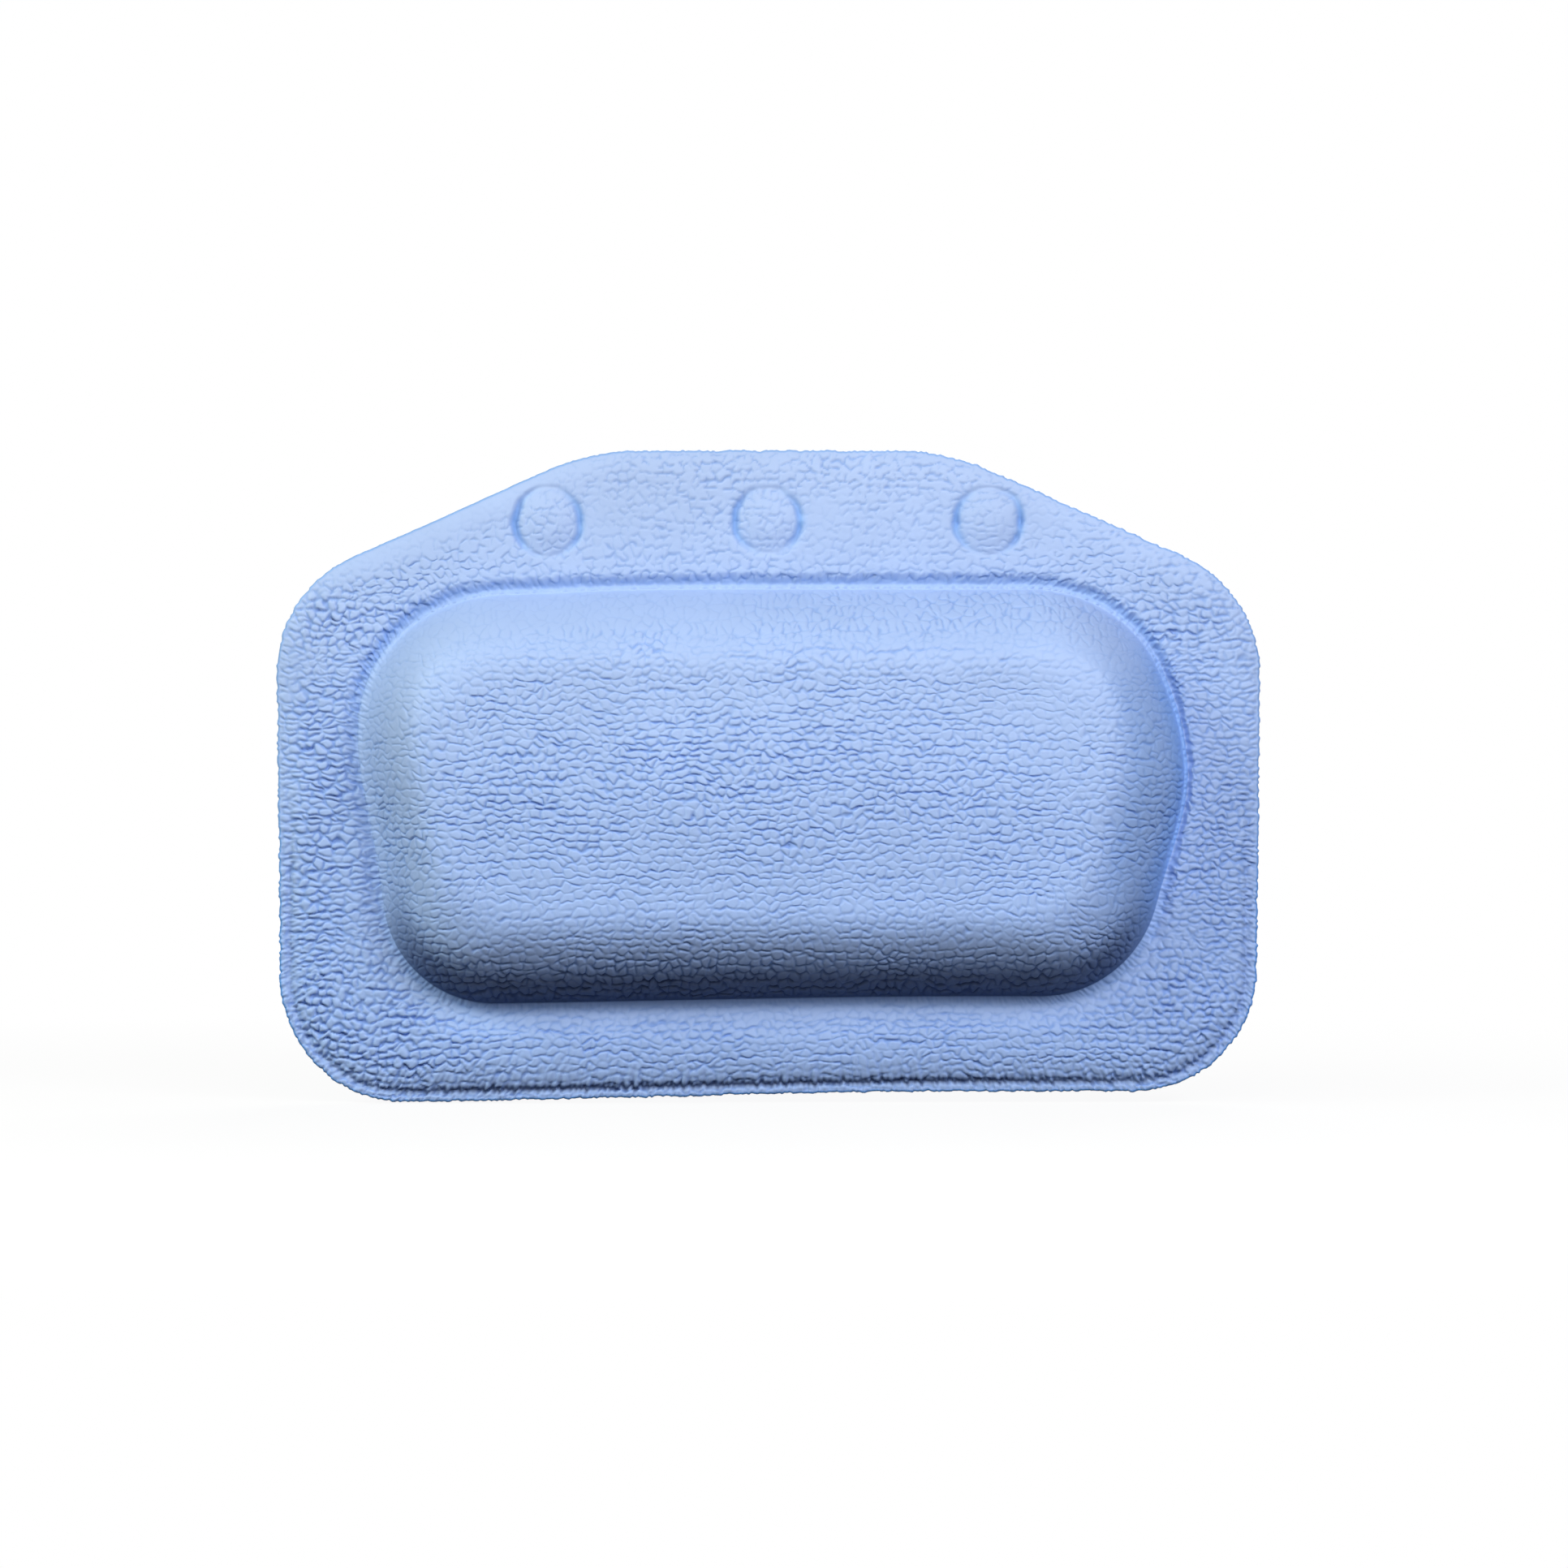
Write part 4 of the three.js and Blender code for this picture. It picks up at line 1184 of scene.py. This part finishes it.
def cup_profile(cups):
    """Radius and depth behind the weld plane, from the head's middle to the hollow's: the head, the neck,
    a flared outside that is a quadratic curve, the lip and a hollow that is a parabola."""
    root_depth = BACK_THICK + cups.gap
    lip_depth = -WELD_Y
    head_front = -cups.gap - cups.head_thickness
    lip, root = cups.lip / 2, cups.root / 2
    stem = fillet_profile(
        [
            (0.0, head_front),
            (cups.head / 2, head_front),
            (cups.head / 2, -cups.gap),
            (cups.neck / 2, -cups.gap),
            (cups.neck / 2, root_depth),
            (root, root_depth),
        ],
        STEM_FILLETS,
    )[:-1]
    share = np.linspace(0.0, 1.0, CURVE_POINTS)[:, None]
    lip_front = lip_depth - cups.lip_thickness
    middle = (root_depth + lip_front) / 2
    flare = (1 - share) ** 2 * [root, root_depth] + 2 * share * (1 - share) * [root, middle]
    flare = flare + share**2 * [lip, lip_front]
    land, sharp = lip - cups.lip_land, 0.01 * MM
    edge = fillet_profile(
        [(lip - sharp, lip_front), (lip, lip_front + sharp), (lip, lip_depth), (land, lip_depth)],
        [sharp / 2, LIP_FILLET],
    )
    radius = np.linspace(land, 0.0, CURVE_POINTS)[1:]
    depth = lip_depth - cups.hollow + cups.hollow * (radius / land) ** 2
    return np.concatenate((stem, flare, edge[2:], np.column_stack((radius, depth))))


def build_cup(settings, side, cup_x):
    """One suction cup: its profile turned about its axis, with a single point at each pole."""
    profile = cup_profile(settings.cups)
    turn = np.linspace(0.0, 2.0 * np.pi, CUP_POINTS, endpoint=False)
    body = profile[1:-1]
    x = cup_x + body[:, :1] * np.cos(turn)
    z = body[:, :1] * np.sin(turn)
    y = np.broadcast_to(WELD_Y + body[:, 1:], x.shape)
    poles = np.column_stack(([cup_x, cup_x], WELD_Y + profile[[0, -1], 1], [0.0, 0.0]))
    points = np.concatenate((np.stack((x, y, z), axis=-1).reshape(-1, 3), poles))
    rows = np.arange(x.size).reshape(x.shape)
    quads = np.concatenate([strip(before, after) for before, after in zip(rows[:-1], rows[1:])])
    front, rear = rows.size, rows.size + 1
    caps = np.concatenate((
        np.column_stack((np.full(CUP_POINTS, front), rows[0], np.roll(rows[0], -1))),
        np.column_stack((np.full(CUP_POINTS, rear), np.roll(rows[-1], -1), rows[-1])),
    ))
    return make_mesh(f"suction_cup_{side}_clear", points, quads[:, ::-1], caps)


# Materials

def new_material(name):
    """A material with its nodes, its links and its Principled shader."""
    material = bpy.data.materials.new(name)
    material.use_nodes = True
    tree = material.node_tree
    shader = next(node for node in tree.nodes if node.type == "BSDF_PRINCIPLED")
    return material, tree, shader


def plug(tree, node, inputs):
    """Gives each named or numbered input of a node its value, or links it where the value is a socket."""
    for key, value in inputs.items():
        if isinstance(value, bpy.types.NodeSocket):
            tree.links.new(value, node.inputs[key])
        else:
            node.inputs[key].default_value = value
    return node


def add(tree, kind, inputs=None, **attributes):
    """A new node with its attributes set and its inputs plugged."""
    node = tree.nodes.new(kind)
    for key, value in attributes.items():
        setattr(node, key, value)
    return plug(tree, node, inputs or {})


def rgba(values):
    """A colour with full alpha."""
    return (*values, 1.0)


def mixed_colour(tree, share, first, second, blend="MIX"):
    """A socket with two colours mixed, from the first at share 0 to the second, or their product, at 1."""
    inputs = {"Factor": share, "A": first, "B": second}
    return add(tree, "ShaderNodeMix", inputs, data_type="RGBA", blend_type=blend).outputs["Result"]


def vinyl_group():
    """Node group of the foamed vinyl: its colour turns less blue from foot to head, a painted sheen of the
    light from above, and drifts. It is multiplied by a tint, which is painted shade and a darker cut edge, and
    by painted shade in the grain's grooves. It also gives the roughness and fine pores."""
    if "Foamed vinyl" in bpy.data.node_groups:
        return bpy.data.node_groups["Foamed vinyl"]
    group = bpy.data.node_groups.new("Foamed vinyl", "ShaderNodeTree")
    sockets = (
        ("Colour", "INPUT", "Color"),
        ("Head colour with painted sheen", "INPUT", "Color"),
        ("Tint", "INPUT", "Color"),
        ("Painted groove shade", "INPUT", "Color"),
        ("Groove", "INPUT", "Float"),
        ("Colour", "OUTPUT", "Color"),
        ("Roughness", "OUTPUT", "Float"),
        ("Height", "OUTPUT", "Float"),
    )
    for name, way, kind in sockets:
        group.interface.new_socket(name, in_out=way, socket_type=f"NodeSocket{kind}")
    given = add(group, "NodeGroupInput").outputs
    place = add(group, "ShaderNodeTexCoord").outputs["Object"]
    height = add(group, "ShaderNodeSeparateXYZ", {"Vector": place}).outputs["Z"]
    # Painted sheen: up the covers the colour blends into the less blue head colour.
    rise = add(group, "ShaderNodeMapRange", {"Value": height, "From Min": -0.16, "From Max": 0.02})
    with_painted_sheen = mixed_colour(group, rise.outputs["Result"], given["Colour"], given["Head colour with painted sheen"])
    # Painted shade and the darker cut edge, from the tint.
    tinted = add(group, "ShaderNodeVectorMath", {0: with_painted_sheen, 1: given["Tint"]}, operation="MULTIPLY")
    # Painted shade in the grooves: the colour is multiplied by the groove tint as deep as each groove goes.
    deep = mixed_colour(group, given["Groove"], tinted.outputs["Vector"], given["Painted groove shade"], "MULTIPLY")
    drift = add(group, "ShaderNodeTexNoise", {"Vector": place, "Scale": 28.0, "Detail": 3.0})
    pores = add(group, "ShaderNodeTexNoise", {"Vector": place, "Scale": 2600.0, "Detail": 2.0})
    drift_range = {"From Min": 0.3, "From Max": 0.7, "To Min": 0.96, "To Max": 1.03}
    tone = add(group, "ShaderNodeMapRange", {"Value": drift.outputs["Fac"], **drift_range})
    scaled = {0: deep, "Scale": tone.outputs["Result"]}
    drifted = add(group, "ShaderNodeVectorMath", scaled, operation="SCALE")
    rough = add(group, "ShaderNodeMapRange", {"Value": given["Groove"], "To Min": 0.42, "To Max": 0.7})
    made = {
        "Colour": drifted.outputs["Vector"],
        "Roughness": rough.outputs["Result"],
        "Height": pores.outputs["Fac"],
    }
    add(group, "NodeGroupOutput", made)
    return group


def vinyl_material(name, finishes, grain_of):
    """Foamed vinyl with a grain from grain_of, which gives its groove, its tint (painted shade and a darker
    cut edge on the front cover, white on the back) and a height that the mesh lacks, or None, as sockets or
    values."""
    material, tree, shader = new_material(name)
    groove, tint, coarse = grain_of(tree)
    given = {
        "Colour": rgba(finishes.vinyl),
        "Head colour with painted sheen": rgba(finishes.vinyl_head_painted_sheen),
        "Tint": tint,
        "Painted groove shade": rgba(finishes.painted_groove_shade),
        "Groove": groove,
    }
    skin = add(tree, "ShaderNodeGroup", given, node_tree=vinyl_group()).outputs
    bump = add(tree, "ShaderNodeBump", {"Strength": 0.25, "Distance": 0.00008, "Height": skin["Height"]})
    if coarse is not None:
        emboss = {"Strength": 0.6, "Distance": 0.0003, "Height": coarse, "Normal": bump.outputs["Normal"]}
        bump = add(tree, "ShaderNodeBump", emboss, invert=True)
    finish = {
        "Base Color": skin["Colour"],
        "Roughness": skin["Roughness"],
        "Normal": bump.outputs["Normal"],
        "Specular IOR Level": 0.25,
    }
    plug(tree, shader, finish)
    return material


def modelled_grain(tree):
    """The grooves and the tint of painted shade and a darker cut edge that the front cover's mesh carries. Its
    grain is in the mesh already.
    """
    groove = add(tree, "ShaderNodeAttribute", attribute_name="grain")
    tint = add(tree, "ShaderNodeAttribute", attribute_name="tint")
    return groove.outputs["Fac"], tint.outputs["Color"], None


def embossed_grain(tree):
    """A finer leather emboss for the back: the lines between small cells, bent by noise."""
    place = add(tree, "ShaderNodeTexCoord").outputs["Object"]
    bend = add(tree, "ShaderNodeTexNoise", {"Vector": place, "Scale": 260.0, "Detail": 1.0})
    mixed = {"Factor": 0.004, "A": place, "B": bend.outputs["Color"]}
    bent = add(tree, "ShaderNodeMix", mixed, data_type="VECTOR").outputs["Result"]
    cells = add(tree, "ShaderNodeTexVoronoi", {"Vector": bent, "Scale": 420.0}, feature="DISTANCE_TO_EDGE")
    line_range = {"From Max": 0.16, "To Min": 1.0, "To Max": 0.0}
    line = add(tree, "ShaderNodeMapRange", {"Value": cells.outputs["Distance"], **line_range})
    # The lines give the emboss its bump and, through the groove tint, painted shade.
    return line.outputs["Result"], WHITE, line.outputs["Result"]


def foam_material(finishes):
    """Open-celled foam: small round cells that are deeper at their middles, with painted shade that darkens
    them there.
    """
    material, tree, shader = new_material("open_foam")
    place = add(tree, "ShaderNodeTexCoord").outputs["Object"]
    cells = add(tree, "ShaderNodeTexVoronoi", {"Vector": place, "Scale": 900.0}).outputs["Distance"]
    # Painted shade: the foam is darker where the cells' pits are deepest.
    dark = rgba([0.6 * value for value in finishes.foam])
    pitted = add(tree, "ShaderNodeBump", {"Strength": 0.8, "Distance": 0.0006, "Height": cells})
    finish = {
        "Base Color": mixed_colour(tree, cells, dark, rgba(finishes.foam)),
        "Roughness": 0.95,
        "Normal": pitted.outputs["Normal"],
    }
    plug(tree, shader, finish)
    return material


def clear_material(finishes):
    """Clear soft vinyl: glassy, with a faint flow of roughness over it."""
    material, tree, shader = new_material("clear_vinyl")
    place = add(tree, "ShaderNodeTexCoord").outputs["Object"]
    flow = add(tree, "ShaderNodeTexNoise", {"Vector": place, "Scale": 120.0, "Detail": 2.0})
    rough = add(tree, "ShaderNodeMapRange", {"Value": flow.outputs["Fac"], "To Min": 0.06, "To Max": 0.2})
    finish = {
        "Base Color": rgba(finishes.clear),
        "Roughness": rough.outputs["Result"],
        "Transmission Weight": 0.92,
        "IOR": 1.53,
    }
    plug(tree, shader, finish)
    return material


# Stage

def white_backdrop(tree, other, white):
    """A socket with the white shader for the camera, gloss and rays through glass, and other for the rest."""
    path = add(tree, "ShaderNodeLightPath").outputs
    seen = path["Is Camera Ray"]
    for ray in ("Is Glossy Ray", "Is Transmission Ray"):
        seen = add(tree, "ShaderNodeMath", {0: seen, 1: path[ray]}, operation="MAXIMUM").outputs["Value"]
    return add(tree, "ShaderNodeMixShader", {"Fac": seen, 1: other, 2: white}).outputs["Shader"]


def build_world(stage):
    """White surroundings that give only a little light."""
    world = bpy.data.worlds.new("surroundings")
    world.use_nodes = True
    tree = world.node_tree
    tree.nodes.clear()
    dim = add(tree, "ShaderNodeBackground", {"Color": WHITE, "Strength": stage.ambient})
    bright = add(tree, "ShaderNodeBackground", {"Color": WHITE, "Strength": 1.0})
    shown = white_backdrop(tree, dim.outputs["Background"], bright.outputs["Background"])
    add(tree, "ShaderNodeOutputWorld", {"Surface": shown})
    bpy.context.scene.world = world


def build_floor(settings):
    """A pale floor under the pillow's lower edge, which keeps a faint shadow."""
    half, height = 3.0, FRONT_LOW.z - settings.flange.sag
    corners = [(x * half, y * half, height) for x, y in ((-1, -1), (1, -1), (1, 1), (-1, 1))]
    floor = make_mesh("floor", corners, [(0, 1, 2, 3)], [])
    material = bpy.data.materials.new("pale_floor")
    material.use_nodes = True
    tree = material.node_tree
    tree.nodes.clear()
    dark = add(tree, "ShaderNodeBsdfDiffuse", {"Color": rgba((0.06, 0.06, 0.06))}).outputs["BSDF"]
    pale = add(tree, "ShaderNodeBsdfDiffuse", {"Color": rgba((0.9, 0.9, 0.9))}).outputs["BSDF"]
    glow = add(tree, "ShaderNodeEmission", {"Color": WHITE, "Strength": 1.0}).outputs["Emission"]
    place = add(tree, "ShaderNodeTexCoord").outputs["Object"]
    away = add(tree, "ShaderNodeVectorMath", {0: place}, operation="LENGTH").outputs["Value"]
    shadow_range = {"From Min": 0.25, "From Max": 0.6, "To Min": 0.9, "To Max": 1.0}
    fade = add(tree, "ShaderNodeMapRange", {"Value": away, **shadow_range}).outputs["Result"]
    shown = add(tree, "ShaderNodeMixShader", {"Fac": fade, 1: pale, 2: glow}).outputs["Shader"]
    add(tree, "ShaderNodeOutputMaterial", {"Surface": white_backdrop(tree, dark, shown)})
    floor.data.materials.append(material)


def around_middle(azimuth, elevation, distance):
    """A place seen from the pillow's middle: degrees to the right of straight ahead, degrees up, metres."""
    turn, rise = math.radians(azimuth), math.radians(elevation)
    middle = Vector((0.0, WELD_Y, (FRONT_LOW.z + FRONT_HIGH.z) / 2))
    aim = Vector((math.sin(turn) * math.cos(rise), -math.cos(turn) * math.cos(rise), math.sin(rise)))
    return middle + distance * aim


def add_lamp(name, place, size, power, tint):
    """A rectangular lamp at a place, turned to the pillow's middle."""
    lamp = bpy.data.lights.new(name, "AREA")
    lamp.shape = "RECTANGLE"
    lamp.size, lamp.size_y = size
    lamp.energy = power
    lamp.color = tint
    holder = bpy.data.objects.new(name, lamp)
    holder.location = place
    holder.rotation_euler = (around_middle(0, 0, 0) - place).to_track_quat("-Z", "Y").to_euler()
    bpy.context.scene.collection.objects.link(holder)


def build_stage(settings):
    """Camera straight in front, a near lamp above it, one to each side, one behind, floor and world."""
    stage = settings.stage
    build_world(stage)
    build_floor(settings)
    lamps = (
        ("key", (0, 24, 0.66), (0.6, 0.32), stage.key_power, (1.0, 0.985, 0.97)),
        ("left", (-62, 28, 1.0), (0.4, 0.4), stage.left_power, (0.94, 1.0, 0.87)),
        ("right", (39, 26, 1.0), (0.4, 0.4), stage.right_power, (0.88, 0.91, 1.0)),
        ("back", (160, 35, 1.0), (0.8, 0.8), stage.back_power, (1.0, 1.0, 1.0)),
    )
    for name, place, size, power, tint in lamps:
        add_lamp(name, around_middle(*place), size, power, tint)
    camera = bpy.data.cameras.new("camera")
    camera.sensor_width = 36.0
    camera.lens = stage.lens
    holder = bpy.data.objects.new("camera", camera)
    away = stage.view_width * stage.lens / camera.sensor_width
    holder.location = (stage.view_across, WELD_Y - stage.view_depth - away, -stage.view_down)
    holder.rotation_euler = (math.pi / 2, 0.0, 0.0)
    bpy.context.scene.collection.objects.link(holder)
    bpy.context.scene.camera = holder
    bpy.context.scene.view_settings.view_transform = "Standard"


# Operators and panel

class PILLOW_OT_stage(Operator):
    """Sets up the camera, lamps, floor and surroundings"""

    bl_idname = "pillow.stage"
    bl_label = "Stage"

    def execute(self, context):
        build_stage(context.scene.bath_pillow)
        return {"FINISHED"}


class PILLOW_OT_front_cover(Operator):
    """Builds the moulded front cover with its pad, crease, bumps and grain"""

    bl_idname = "pillow.front_cover"
    bl_label = "Front cover"

    def execute(self, context):
        settings = context.scene.bath_pillow
        piece = build_front_cover(settings)
        material = vinyl_material("grained_vinyl", settings.finishes, modelled_grain)
        dress(piece, "pillow", "front_cover", material)
        return {"FINISHED"}


class PILLOW_OT_back_cover(Operator):
    """Builds the flat back cover with its welded rim and the holes for the cups"""

    bl_idname = "pillow.back_cover"
    bl_label = "Back cover"

    def execute(self, context):
        settings = context.scene.bath_pillow
        piece = build_back_cover(settings)
        material = vinyl_material("embossed_vinyl", settings.finishes, embossed_grain)
        dress(piece, "pillow", "back_cover", material)
        return {"FINISHED"}


class PILLOW_OT_foam_core(Operator):
    """Builds the foam core that fills the pad"""

    bl_idname = "pillow.foam_core"
    bl_label = "Foam core"

    def execute(self, context):
        settings = context.scene.bath_pillow
        piece = build_foam_core(settings)
        dress(piece, "pillow", "foam_core", foam_material(settings.finishes))
        return {"FINISHED"}


class PILLOW_OT_suction_cups(Operator):
    """Builds the three suction cups"""

    bl_idname = "pillow.suction_cups"
    bl_label = "Suction cups"

    def execute(self, context):
        settings = context.scene.bath_pillow
        material = clear_material(settings.finishes)
        for side, cup_x in zip(CUP_SIDES, CUP_X):
            piece = build_cup(settings, side, cup_x)
            dress(piece, f"cup_{side}", f"suction_cup_{side}", material)
        return {"FINISHED"}


class VIEW3D_PT_bath_pillow(Panel):
    """Lists the pillow's pieces and the values that can be changed"""

    bl_label = "Bath pillow"
    bl_space_type = "VIEW_3D"
    bl_region_type = "UI"
    bl_category = "Bath pillow"

    def draw(self, context):
        settings = context.scene.bath_pillow
        for operator in OPERATORS:
            self.layout.operator(operator.bl_idname)
        for name in BathPillow.__annotations__:
            group, box = getattr(settings, name), self.layout.box()
            for key in group.__annotations__:
                box.prop(group, key)


OPERATORS = (
    PILLOW_OT_stage,
    PILLOW_OT_front_cover,
    PILLOW_OT_back_cover,
    PILLOW_OT_foam_core,
    PILLOW_OT_suction_cups,
)
CLASSES = (
    PadSizes,
    FlangeSizes,
    CupSizes,
    GrainLook,
    Finishes,
    StageLook,
    BathPillow,
    *OPERATORS,
    VIEW3D_PT_bath_pillow,
)


def register():
    for one in CLASSES:
        bpy.utils.register_class(one)
    bpy.types.Scene.bath_pillow = PointerProperty(type=BathPillow)


def unregister():
    del bpy.types.Scene.bath_pillow
    for one in reversed(CLASSES):
        bpy.utils.unregister_class(one)


def main():
    """Builds everything in order."""
    register()
    bpy.ops.pillow.stage()
    bpy.ops.pillow.front_cover()
    bpy.ops.pillow.back_cover()
    bpy.ops.pillow.foam_core()
    bpy.ops.pillow.suction_cups()


if __name__ == "__main__":
    main()
